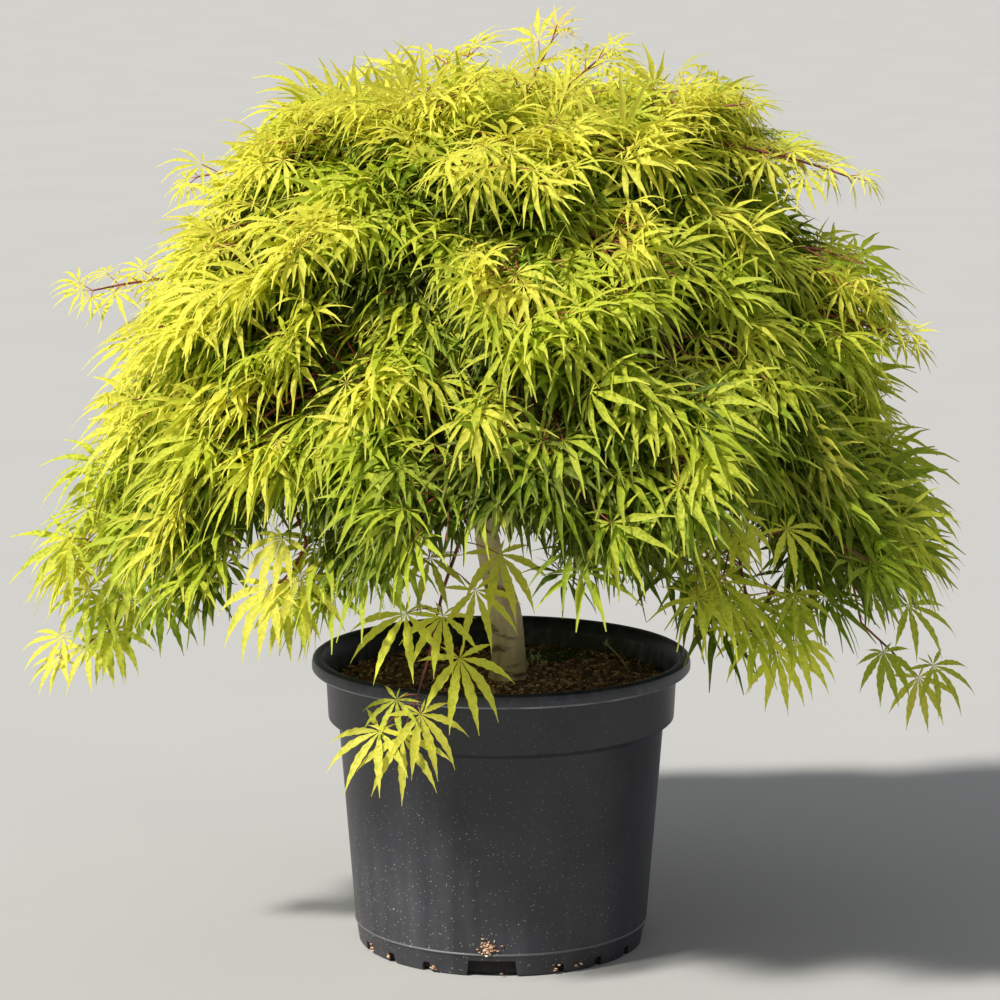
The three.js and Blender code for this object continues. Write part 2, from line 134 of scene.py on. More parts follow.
# Small weeds on the compost, as x and y, and a thin stalk that lies over it. A factor of their
# heights or leaves is its least value and what chance adds.
SEEDLINGS = [(0.033, 0.062), (0.023, 0.033), (0.037, 0.047), (0.028, 0.052)]
SEEDLING = {
    "tall": 0.0065, "factor": (0.7, 0.6), "lean": 0.002, "radii": [0.0006, 0.0005],
    "leaf": 0.0046, "leaf_factor": (0.8, 0.5), "tilt": 0.8,
    "lobes": [(0, 1.0), (90, 0.8), (180, 0.9), (-90, 0.75)],
    "blade": {"spread": 1.0, "sweep": 0.0, "curl": -0.25, "uneven": 12, "width": 4.6},
}
LYING_STALK = [
    (0.097, 0.105, 0.2480), (0.102, 0.086, 0.2470), (0.110, 0.055, 0.2440), (0.116, 0.025, 0.2390),
]
LYING_RADII = [0.0009, 0.0008, 0.0007, 0.0005]

# Grit on the pot's foot: azimuth, height, how widely it is spread and number of grains. No grain is
# lower than the lowest place, and each stands a little proud of the wall.
GRIT = {"lowest": 0.003, "proud": 0.0007, "size": 0.0034, "factors": (0.6, 1.2)}
FOOT_GRIT = [
    (-5.0, 0.0265, 0.0032, 84), (-62.0, 0.004, 0.0018, 8), (-50.0, 0.005, 0.0016, 6),
    (-27.0, 0.004, 0.0016, 8), (0.0, 0.004, 0.0010, 3), (22.0, 0.006, 0.0022, 7),
    (31.5, 0.005, 0.0016, 5),
]

# The trunk's middle line: x, y, z and radius
TRUNK_LINE = [
    (0.0060, 0.000, 0.2370, 0.0200),
    (0.0062, 0.000, 0.2440, 0.0172),
    (0.0065, 0.000, 0.256, 0.0158),
    (0.0045, 0.000, 0.290, 0.0150),
    (-0.0020, -0.001, 0.322, 0.0132),
    (-0.0105, -0.002, 0.358, 0.0110),
    (-0.018, -0.001, 0.410, 0.0102),
    (-0.030, -0.004, 0.520, 0.0084),
    (-0.026, -0.012, 0.590, 0.0070),
    (-0.034, -0.016, 0.640, 0.0052),
]

# The trunk's and boughs' skin: the section's sides, the size of its grid, how often it is smoothed,
# and the bark's furrows as size and strength, drawn out along Z
TRUNK_SIDES = 14
SKIN_GRID = 0.0019
SKIN_SMOOTHING = 3
FURROWS = ((0.006, 0.0022), (0.0022, 0.0010))
FURROW_STRETCH = 4

# Boughs, in whorls. An azimuth is counted from the front towards the right, in degrees. From is the
# height of a whorl's lowest foot, step parts the feet, and tip is a height. A bough bends towards a
# shoulder at a share of its reach, which is BOUGH_RISE times the rise above its foot, and which
# follows the foot's place aside by a share.
BOUGH_SHOULDER = 0.45
BOUGH_RISE = 1.4
BOUGH_ASIDE = 0.5
BOUGH_STEPS = 16
WHORLS = [
    {
        "name": "low", "count": 5, "first": -2, "from": 0.392, "step": 0.010, "rise": 0.062,
        "reach": 0.190, "tip": 0.486, "radius": 0.0082, "tip_radius": 0.0046,
    },
    {
        "name": "middle", "count": 5, "first": 16, "from": 0.468, "step": 0.013, "rise": 0.066,
        "reach": 0.165, "tip": 0.606, "radius": 0.0066, "tip_radius": 0.0042,
    },
    {
        "name": "high", "count": 4, "first": 8, "from": 0.560, "step": 0.009, "rise": 0.060,
        "reach": 0.084, "tip": 0.700, "radius": 0.0050, "tip_radius": 0.0038,
    },
]

# Tiers of foliage: two stems from each bough, each a spread to its side. A stem arches over a
# shoulder at a share of its reach. Turn swings it round from its even place, reach is how far out it
# ends, which chance moves by the uneven share, and low is the height that its leaves hang down to.
TIERS = {
    "low": {
        "name": "skirt", "spread": 18, "arch": 0.020, "shoulder": 0.76, "uneven": 0.0,
        "turn": {0: -4, 8: -2, 9: 10},
        "reach": [0.222, 0.322, 0.318, 0.370, 0.362, 0.350, 0.350, 0.350, 0.362, 0.322],
        "low": [0.196, 0.392, 0.262, 0.236, 0.292, 0.322, 0.322, 0.296, 0.236, 0.256],
    },
    "middle": {
        "name": "mantle", "spread": 18, "arch": 0.044, "shoulder": 0.90, "uneven": 0.06,
        "turn": {},
        "reach": [0.330, 0.326, 0.322, 0.322, 0.326, 0.332, 0.332, 0.328, 0.326, 0.328],
        "low": [0.412, 0.404, 0.396, 0.396, 0.404, 0.404, 0.396, 0.396, 0.404, 0.412],
    },
    "high": {
        "name": "dome", "spread": 22, "arch": 0.064, "shoulder": 0.80, "uneven": 0.06,
        "turn": {},
        "reach": [0.226, 0.232, 0.238, 0.232, 0.226, 0.232, 0.238, 0.232],
        "low": [0.566, 0.560, 0.560, 0.566, 0.566, 0.560, 0.560, 0.566],
    },
}

# The second stem of a bough leaves it at a share of its length. A stem ends this far above the
# height that its leaves hang down to, which chance moves by a part of the uneven share, in metres.
SIDE_STEM_AT = 0.8
HANG = 0.096
UNEVEN_LIFT = 0.5
STEM_STEPS = 20
STEM_PARTS = 16

# How far out the leafy stems of a tier end, as a share of the tier's reach: leaves fill the rest.
# Their shoulders are set back further, as leaves cover them.
STEM_REACH = {"skirt": 0.95, "mantle": 0.81, "dome": 0.68, "top": 0.76}
SHOULDER_BACK = 0.86

# Finer stems that fill the crown between the tiers, one to a bough. Each leaves its bough at a share
# of the bough's length, and chance moves its azimuth, its reach and its end.
BETWEEN_UNEVEN = {"azimuth": 5, "reach": 0.012, "end": 0.030}
BETWEEN_SHOULDER = 0.8
BETWEEN_SEED = 200
BETWEEN = {
    "low": {"at": 0.62, "swing": 4, "reach": 0.290, "end": 0.452, "arch": 0.052, "low": 0.360},
    "middle": {"at": 0.62, "swing": -3, "reach": 0.232, "end": 0.606, "arch": 0.056, "low": 0.44},
    "high": {"at": 0.55, "swing": 2, "reach": 0.132, "end": 0.704, "arch": 0.054, "low": 0.56},
}

# The masses at the crown's top. Their stems leave the trunk itself, from and top are heights, and
# the shoulder is at a share of the reach. The stem arches over the top and ends below it.
TOP_ARCH = 0.030
TOP_END = 0.040
TOP_HANG = 0.2
TOP_MASSES = [
    {"azimuth": 62, "from": 0.640, "reach": 0.130, "top": 0.752, "shoulder": 0.5},
    {"azimuth": 206, "from": 0.592, "reach": 0.120, "top": 0.734, "shoulder": 0.95},
    {"azimuth": 306, "from": 0.608, "reach": 0.130, "top": 0.738, "shoulder": 0.95},
]

# Young shoots that stand out of the crown. Each leaves its mass's stem at a share of the stem's
# length. The tint is that of the leaves at its tip.
SHOOTS = [
    {"mass": "top_1", "from": 0.2, "azimuth": 92, "reach": 0.044, "z": 0.808, "tint": "young"},
    {"mass": "top_1", "from": 0.5, "azimuth": 86, "reach": 0.084, "z": 0.792, "tint": "lemon"},
    {"mass": "dome_3", "from": 0.2, "azimuth": 78, "reach": 0.210, "z": 0.756, "tint": "lemon"},
    {"mass": "dome_3", "from": 0.55, "azimuth": 78, "reach": 0.305, "z": 0.696, "tint": "lemon"},
    {"mass": "mantle_3", "from": 0.35, "azimuth": 74, "reach": 0.312, "z": 0.604, "tint": "lemon"},
    {"mass": "mantle_3", "from": 0.55, "azimuth": 80, "reach": 0.350, "z": 0.556, "tint": "lemon"},
    {"mass": "dome_7", "from": 0.5, "azimuth": 256, "reach": 0.280, "z": 0.684, "tint": "lemon"},
    {"mass": "dome_8", "from": 0.25, "azimuth": 300, "reach": 0.150, "z": 0.752, "tint": "lemon"},
    {"mass": "mantle_8", "from": 0.5, "azimuth": 268, "reach": 0.362, "z": 0.588, "tint": "lemon"},
    {"mass": "top_3", "from": 0.5, "azimuth": 323, "reach": 0.150, "z": 0.752, "tint": "sunlit"},
]

# Sprays that hang free under the crown. Each leaves its stem at a share of the stem's length, and
# the stem ends there. A leaf has the place of its foot, its lean from straight down towards the
# right in degrees, its lobes' length and its tint, which paints light and shade; pale paints
# sunlight on leaves in the crown's shade.
SPRAYS = {
    "skirt_1": {
        "from": 0.30,
        "points": [
            (-0.035, -0.185, 0.399), (-0.048, -0.200, 0.363), (-0.054, -0.205, 0.340),
            (-0.058, -0.208, 0.315), (-0.065, -0.210, 0.291), (-0.072, -0.212, 0.268),
        ],
        "leaves": [
            ((-0.080, -0.215, 0.343), -30, 0.066, "pale"),
            ((-0.049, -0.215, 0.341), -14, 0.054, "pale"),
            ((-0.022, -0.200, 0.360), 28, 0.056, "pale"),
            ((-0.002, -0.180, 0.387), 24, 0.062, "pale"),
            ((-0.035, -0.212, 0.304), 20, 0.067, "pale"),
            ((-0.088, -0.215, 0.269), -38, 0.042, "sunlit"),
            ((-0.068, -0.222, 0.258), 20, 0.058, "lemon"),
            ((-0.102, -0.220, 0.243), -40, 0.062, "lemon"),
            ((-0.083, -0.228, 0.240), -2, 0.058, "lemon"),
            ((-0.060, -0.190, 0.386), -15, 0.052, "sunlit"),
        ],
    },
    "skirt_3": {
        "from": 0.58,
        "points": [
            (0.200, -0.220, 0.382), (0.204, -0.222, 0.363), (0.214, -0.226, 0.336),
            (0.229, -0.228, 0.316),
        ],
        "leaves": [
            ((0.231, -0.232, 0.312), 15, 0.052, "pale"),
            ((0.214, -0.232, 0.331), -10, 0.052, "pale"),
            ((0.209, -0.232, 0.355), 15, 0.042, "sunlit"),
            ((0.182, -0.232, 0.380), -30, 0.062, "sunlit"),
            ((0.247, -0.225, 0.322), 40, 0.053, "pale"),
            ((0.244, -0.225, 0.362), 40, 0.048, "sunlit"),
            ((0.141, -0.240, 0.408), -10, 0.046, "lime"),
            ((0.198, -0.235, 0.426), 10, 0.048, "pale"),
            ((0.237, -0.230, 0.418), 55, 0.056, "pale"),
        ],
    },
    "skirt_4": {
        "from": 0.62,
        "points": [
            (0.307, -0.050, 0.349), (0.318, -0.050, 0.300), (0.346, -0.050, 0.274),
            (0.360, -0.050, 0.258),
        ],
        "leaves": [
            ((0.369, -0.055, 0.252), 5, 0.050, "lemon"),
            ((0.382, -0.050, 0.262), 45, 0.052, "sunlit"),
            ((0.337, -0.060, 0.276), 10, 0.050, "lime"),
            ((0.358, -0.060, 0.318), 50, 0.056, "sunlit"),
            ((0.326, -0.060, 0.330), 45, 0.042, "lime"),
            ((0.357, -0.040, 0.371), 60, 0.062, "sunlit"),
            ((0.345, -0.040, 0.349), 55, 0.050, "green"),
            ((0.366, -0.020, 0.405), 55, 0.054, "sunlit"),
        ],
    },
    "skirt_9": {
        "from": 0.62,
        "points": [
            (-0.314, -0.060, 0.346), (-0.341, -0.055, 0.304), (-0.366, -0.050, 0.280),
            (-0.389, -0.050, 0.268),
        ],
        "leaves": [
            ((-0.391, -0.050, 0.268), -45, 0.038, "lemon"),
            ((-0.365, -0.060, 0.282), -30, 0.048, "lemon"),
            ((-0.339, -0.070, 0.298), 12, 0.048, "sunlit"),
            ((-0.314, -0.075, 0.347), 5, 0.058, "lime"),
            ((-0.273, -0.080, 0.356), 25, 0.056, "lime"),
            ((-0.298, -0.080, 0.327), 30, 0.054, "green"),
            ((-0.329, -0.040, 0.319), -35, 0.054, "sunlit"),
            ((-0.375, -0.050, 0.375), -50, 0.052, "lemon"),
            ((-0.380, -0.040, 0.350), -40, 0.050, "lemon"),
            ((-0.349, -0.060, 0.323), -32, 0.054, "lime"),
            ((-0.329, -0.070, 0.355), -20, 0.056, "sunlit"),
            ((-0.363, -0.050, 0.330), -48, 0.052, "sunlit"),
            ((-0.330, -0.030, 0.317), 8, 0.050, "green"),
            ((-0.345, -0.060, 0.292), -6, 0.048, "sunlit"),
            ((-0.388, -0.045, 0.286), -62, 0.046, "lemon"),
        ],
    },
    "skirt_10": {
        "from": 0.58,
        "points": [
            (-0.162, -0.225, 0.405), (-0.173, -0.232, 0.384), (-0.190, -0.235, 0.367),
        ],
        "leaves": [
            ((-0.193, -0.238, 0.370), -35, 0.066, "lemon"),
            ((-0.167, -0.238, 0.381), 15, 0.064, "lemon"),
            ((-0.174, -0.240, 0.362), -8, 0.054, "sunlit"),
            ((-0.182, -0.230, 0.410), -35, 0.056, "lemon"),
        ],
    },
}

# Stems, twigs and twiglets. Places are shares of the limb that carries them, angles are in degrees,
# and a radius goes from foot to tip. Slip, turn and stray are how far chance moves a place, an angle
# and a direction. A factor is its least value and what chance adds. A limb sinks by its weight.
STEM_RADIUS = (0.0040, 0.0013)
TWIG = {
    "at": (0.06, 0.18, 0.30, 0.42, 0.54, 0.66, 0.78, 0.90), "slip": 0.04, "angle": 54, "turn": 12,
    "factor": (0.8, 0.4), "at_foot": 1.05, "shorter": 0.45, "out": 0.12, "stray": 0.34, "arch": 0.1,
    "radius": (0.0014, 0.0007), "steps": 6,
}
TWIGLET = {
    "at": (0.34, 0.68), "slip": 0.08, "angle": 46, "turn": 14, "length": 0.42, "factor": (0.7, 0.5),
    "stray": 0.4, "leaves": 0.94, "radius": (0.0008, 0.0005), "steps": 3,
}
BEND_AT = 0.55
SINK = 0.20

# A young shoot's leaves stand in pairs along it and are smaller than the others. Roll turns each
# pair against the one before, rise and hang lift a stalk and let a blade droop, and SHOOT_FACE is
# the way that the blades face.
SHOOT = {
    "arch": 0.012, "step": 0.027, "pairs": (0.28, 0.86), "size": 0.62, "tip_size": 0.50,
    "angle": 54, "turn": 18, "roll": 0.6, "rise": 0.1, "rise_stray": 0.2, "stalk": (0.3, 0.5),
    "hang": 0.34, "hang_stray": 0.22, "factor": (0.82, 0.36), "face_stray": 0.30,
    "radius": (0.0019, 0.0008), "steps": 6,
}
SHOOT_FACE = Vector((0, -0.50, 0.75))

# A free spray's leaves: how far above a leaf's foot its stalk leaves the spray where it can, how the
# stalk arches, and how far the blade comes forward and faces aside, forward and up. A stalk leaves
# the spray at one of SPRAY_PARTS even places.
FREE_LEAF = {"above": 0.012, "bend": 0.6, "arch": 0.004, "forward": 0.45, "stray": 0.12}
FREE_FACE = (0.5, -0.62, 0.62)
SPRAY_PARTS = 40

# How far a spray's middle lies beyond the end of its limb
SPRAY_BEYOND = 0.02

# The other leaves' stalks: their angle, how far they turn out of the crown, how far chance moves
# them, their length and how they sink. The radius holds for all leaves.
STALK = {"angle": 52, "out": 0.50, "stray": 0.24, "factor": (0.65, 0.7), "sink": 0.15}
STALK_RADIUS = (0.0006, 0.0005)

# How these leaves hang. Each pair holds for the leaves up to AGE_FROM high and for the young ones
# AGE_RISE above that: how far the middle lobe points out and down, how far the face turns up and out
# of the crown, and the size. The lobe also follows the stalk, and the face also turns to the sun.
AGE_FROM = 0.36
AGE_RISE = 0.38
LEAF = {
    "out": (0.74, 0.62), "hang": (0.50, 0.20), "face_up": (0.45, 0.80), "face_out": (0.80, 0.50),
    "size": (1.08, 0.80), "along_stalk": 0.45, "down": 0.07, "stray": 0.50, "face_sun": 0.55,
    "face_stray": 1.15, "factor": (0.78, 0.40),
}

# The crown's rounded form gives the way out of the crown at any place in it. A power of 2 would
# make it an ellipsoid, and a higher one makes it squarer.
CROWN_FOOT = 0.33
CROWN_RADIUS = 0.365
CROWN_HEIGHT = 0.46
CROWN_POWER = 2.4
CROWN_LEAST_UP = 0.05

# Room that foliage keeps free under the crown: within a radius of the pot's axis up to a height,
# and in front of the trunk between two places along X up to a height. A leaf's middle lobe may pass
# the solids' box by the last value.
ROOMS = ((0.182, 0.272), (0.210, 0.365), (0.165, 0.412))
WINDOWS = ((-0.0475, 0.0475, 0.428), (0.0475, 0.155, 0.372), (-0.160, -0.0475, 0.335))
BOX_ROOM = 0.006

# A leaf's lobes: angle in degrees and share of the longest lobe's length. The leaves in the open
# have two small lobes more at the back.
LOBES = [(0, 1.0), (33, 0.97), (-33, 0.95), (66, 0.84), (-66, 0.82), (102, 0.54), (-102, 0.52)]
BACK_LOBES = [(138, 0.30), (-138, 0.27)]

# The blades: how far the lobes spread and sweep round, how they curl down, how unevenly they stand
# in degrees, how wide they are, and how far their weight bends them. The last ones, from BROAD_FROM
# on, are for the free sprays and have finely toothed lobes.
BLADES = [
    {"spread": 1.08, "sweep": 0.18, "curl": 0.08, "uneven": 6, "width": 0.92, "droop": 0.25},
    {"spread": 1.00, "sweep": 0.36, "curl": 0.12, "uneven": 8, "width": 1.04, "droop": 0.18},
    {"spread": 1.16, "sweep": 0.06, "curl": 0.04, "uneven": 7, "width": 0.84, "droop": 0.32},
    {"spread": 1.04, "sweep": -0.12, "curl": 0.10, "uneven": 9, "width": 0.98, "droop": 0.22},
    {"spread": 0.94, "sweep": 0.28, "curl": 0.15, "uneven": 6, "width": 0.88, "droop": 0.28},
    {"spread": 1.02, "sweep": 0.14, "curl": 0.10, "uneven": 7, "width": 1.10, "droop": 0.30},
    {"spread": 0.92, "sweep": 0.30, "curl": 0.12, "uneven": 8, "width": 1.18, "droop": 0.26},
    {"spread": 1.10, "sweep": -0.08, "curl": 0.08, "uneven": 7, "width": 1.02, "droop": 0.34},
]
BROAD_FROM = 5

# A lobe's rows: share of its length, half its width there, and how far its teeth lean to one side.
# A lobe folds up from its midrib by LOBE_FOLD of its width.
LOBE_FOLD = 0.30
FINE_ROWS = [
    (0.0, 0.0, 0), (0.18, 0.026, 0.10), (0.40, 0.067, -0.14), (0.57, 0.051, 0.18),
    (0.78, 0.024, -0.20), (1.0, 0.0085, 0),
]
PLAIN_ROWS = [(0.0, 0.0, 0), (0.36, 0.060, 0), (0.68, 0.034, 0), (1.0, 0.0, 0)]
CORE_ROWS = [(0.0, 0.0, 0), (0.42, 0.058, 0), (1.0, 0.0, 0)]

# A finely toothed lobe: its number of rows, half its greatest width, two powers that put the widest
# place and narrow the ends, the lean of its teeth, and half the width of its tip
TOOTHED = {"rows": 13, "width": 0.067, "widest": 0.9, "narrow": 1.3, "lean": 0.12, "tip": 0.004}

# Grades of leaf, from the open ones to those under many others: the share of all leaves where each
# grade ends, its lobes' rows and its lobes
GRADES = (
    ("outer", 0.37, FINE_ROWS, LOBES + BACK_LOBES),
    ("inner", 0.74, PLAIN_ROWS, LOBES),
    ("core", 1.0, CORE_ROWS, LOBES),
)

# A spray's cover is the foliage just outside it: what lies between two distances on the way out of
# the crown, and no further aside than about the width
COVER = {"from": 0.008, "to": 0.110, "width": 0.034}

# A spray's score picks its tint, which paints light and shade into its leaves: the sun on its side
# and its height add to it as painted sunlight, its cover takes from it as painted shade, and chance
# moves it. A tint goes to the sprays that score more than its least, and the others are the deep
# green of painted shade.
SCORE = {
    "start": 0.325, "sun": 0.42, "least_sun": -0.12, "height": 0.84, "height_from": 0.47,
    "cover": 0.195, "chance": 0.26,
}
TINTS = (("lemon", 0.50), ("sunlit", 0.29), ("lime", 0.09), ("green", -0.16))

# The side of the crown where the leaves are the yellowest, as painted sunlight, and the way to the
# sun, which all leaves turn to apart from those of the shoots and the free sprays
SUNNY_SIDE = Vector((-0.66, 0.12, 0.74)).normalized()
SUN_WAY = Vector((-0.58, -0.39, 0.72))

# Tones that no setting holds: the compost's painted shade where it shows low down, pale patches of
# bark, and on the leaves the pale mottling, the paler ribs and the painted highlight at the tips, with
# how far these are paled. Then how much light goes through a leaf, and how much brighter its tone is
# there.
COMPOST_SHADE = (0.004, 0.003, 0.002)
BARK_PATCH = (1.0, 0.90, 0.60)
LEAF_MOTTLE = (0.85, 0.78, 0.16)
LEAF_RIB_AND_HIGHLIGHT = (1.0, 0.95, 0.28)
LEAF_RIB_AND_HIGHLIGHT_SHARE = 0.30
LEAF_THROUGH = 0.42
LEAF_GLOW = 1.25

# The floor, a hair under the pot, the key light with its place, size in the sky and colour, the
# light all round, and the camera, which is a little aside of the pot's axis and tilted down
FLOOR = {"size": 160, "z": -0.0004, "darker": 0.97}
KEY = {"azimuth": -56, "height": 46, "width": 6, "colour": (1.0, 0.965, 0.90)}
FILL_COLOUR = (0.93, 0.96, 1.0, 1)
CAMERA = {"aside": -0.00107, "tilt": 0.17529, "sensor": 36, "lens": 135.286, "sees_to": 200}

UP = Vector((0, 0, 1))
DEGREE = math.pi / 180


def mix(a, b, share):
    """The value at a share of the way from a to b."""
    return a + (b - a) * share


class Random:
    """A repeatable random number from 0 to 1, the same as in the solids' source."""

    def __init__(self, seed):
        self.state = seed % 4294967296

    def __call__(self):
        self.state = (self.state * 1664525 + 1013904223) % 4294967296
        return self.state / 4294967296

    def about(self, spread):
        """A number from -spread to spread."""
        return (self() * 2 - 1) * spread

    def over(self, least, added):
        """A least value with a random share of what may be added to it."""
        return least + added * self()

    def vector(self, spread):
        """A vector with each part from -spread to spread."""
        return Vector((self.about(spread), self.about(spread), self.about(spread)))


def polar(azimuth, radius, z):
    """The place at a radius and height on the side of the crown that an azimuth names."""
    a = azimuth * DEGREE
    return Vector((radius * math.sin(a), -radius * math.cos(a), z))


class Line:
    """A limb's middle line as short steps, read by share of its length."""

    def __init__(self, points):
        self.points = points
        self.reached = [0.0]
        for a, b in zip(points, points[1:]):
            self.reached.append(self.reached[-1] + (b - a).length)
        self.length = self.reached[-1]

    def step_at(self, share):
        """The step that a share of the length falls in, and how far along that step."""
        far = min(max(share, 0.0), 1.0) * self.length
        k = 1
        while k < len(self.points) - 1 and self.reached[k] < far:
            k += 1
        step = self.reached[k] - self.reached[k - 1]
        return k, (far - self.reached[k - 1]) / max(step, 1e-9)

    def at(self, share):
        """The point at a share of the length."""
        k, part = self.step_at(share)
        return self.points[k - 1].lerp(self.points[k], part)

    def heading(self, share):
        """The direction at a share of the length."""
        k, _ = self.step_at(share)
        return (self.points[k] - self.points[k - 1]).normalized()


def arc(start, middle, end, steps):
    """A line bent from start to end towards a middle point."""
    shares = [k / steps for k in range(steps + 1)]
    return Line([start.lerp(middle, t).lerp(middle.lerp(end, t), t) for t in shares])


def trunk_at(z):
    """The trunk's middle at a height."""
    rows = TRUNK_LINE
    k = next((i for i, row in enumerate(rows) if row[2] >= z), len(rows) - 1)
    a, b = rows[max(k, 1) - 1], rows[max(k, 1)]
    share = min(max((z - a[2]) / (b[2] - a[2]), 0), 1)
    return Vector((mix(a[0], b[0], share), mix(a[1], b[1], share), z))


def boughs():
    """The boughs: out of the trunk, up over a shoulder and on to the tip."""
    made = []
    for whorl in WHORLS:
        for k in range(whorl["count"]):
            azimuth = whorl["first"] + 360 / whorl["count"] * k
            foot = trunk_at(whorl["from"] + whorl["step"] * ((k * 2) % whorl["count"]))
            tip = polar(azimuth, whorl["reach"], whorl["tip"])
            shoulder_reach = whorl["reach"] * BOUGH_SHOULDER
            middle = polar(azimuth, shoulder_reach, foot.z + whorl["rise"] * BOUGH_RISE)
            middle += Vector((foot.x * BOUGH_ASIDE, foot.y * BOUGH_ASIDE, 0))
            made.append({
                "name": f"bough_{whorl['name']}_{k + 1}", "whorl": whorl["name"], "index": k,
                "azimuth": azimuth, "line": arc(foot, middle, tip, BOUGH_STEPS),
                "radius": (whorl["radius"], whorl["tip_radius"]),
            })
    return made


def stems(bough_list):
    """The stems that the masses of foliage grow from, two to a bough and three at the top."""
    made = []
    for bough in bough_list:
        tier = TIERS[bough["whorl"]]
        for side in (0, 1):
            index = bough["index"] * 2 + side
            spread = tier["spread"] if side else -tier["spread"]
            azimuth = bough["azimuth"] + spread + tier["turn"].get(index, 0)
            start = bough["line"].at(SIDE_STEM_AT if side else 1.0)
            uneven = Random(len(made) * 53 + 9)
            reach = tier["reach"][index] * STEM_REACH[tier["name"]] * (1 + uneven.about(tier["uneven"]))
            low = tier["low"][index]
            lift = uneven.about(tier["uneven"]) * UNEVEN_LIFT
            end = polar(azimuth, reach, low + HANG + lift)
            shoulder_reach = reach * tier["shoulder"] * SHOULDER_BACK
            shoulder = polar(azimuth, shoulder_reach, start.z + tier["arch"] + lift)
            made.append({
                "name": f"{tier['name']}_{index + 1}", "line": arc(start, shoulder, end, STEM_STEPS),
                "seed": len(made) + 1, "low": low,
            })
    for k, mass in enumerate(TOP_MASSES):
        start = trunk_at(mass["from"])
        reach = mass["reach"] * STEM_REACH["top"]
        end = polar(mass["azimuth"], reach, mass["top"] - TOP_END)
        shoulder = polar(mass["azimuth"], reach * mass["shoulder"], mass["top"] + TOP_ARCH)
        made.append({
            "name": f"top_{k + 1}", "line": arc(start, shoulder, end, STEM_STEPS),
            "seed": len(made) + 1, "low": mass["top"] - TOP_HANG,
        })
    return made


def between_stems(bough_list):
    """The finer stems between the tiers, each a little uneven in its height and reach."""
    made = []
    for number, bough in enumerate(bough_list):
        rule = BETWEEN[bough["whorl"]]
        random = Random(number * 131 + 71)
        azimuth = bough["azimuth"] + rule["swing"] + random.about(BETWEEN_UNEVEN["azimuth"])
        start = bough["line"].at(rule["at"])
        reach = rule["reach"] + random.about(BETWEEN_UNEVEN["reach"])
        end = polar(azimuth, reach, rule["end"] + random.about(BETWEEN_UNEVEN["end"]))
        shoulder_z = max(start.z, end.z) + rule["arch"]
        shoulder = polar(azimuth, reach * BETWEEN_SHOULDER, shoulder_z)
        made.append({
            "name": "", "line": arc(start, shoulder, end, STEM_STEPS),
            "seed": BETWEEN_SEED + number, "low": rule["low"],
        })
    return made


def way_out(point):
    """The direction straight out of the crown's rounded form."""
    rise = max(point.z - CROWN_FOOT, 0.0) / CROWN_HEIGHT
    radius = max(math.hypot(point.x, point.y), 1e-6)
    flat = (radius / CROWN_RADIUS) ** (CROWN_POWER - 1) / CROWN_RADIUS
    up = rise ** (CROWN_POWER - 1) / CROWN_HEIGHT + CROWN_LEAST_UP
    return Vector((point.x / radius * flat, point.y / radius * flat, up)).normalized()


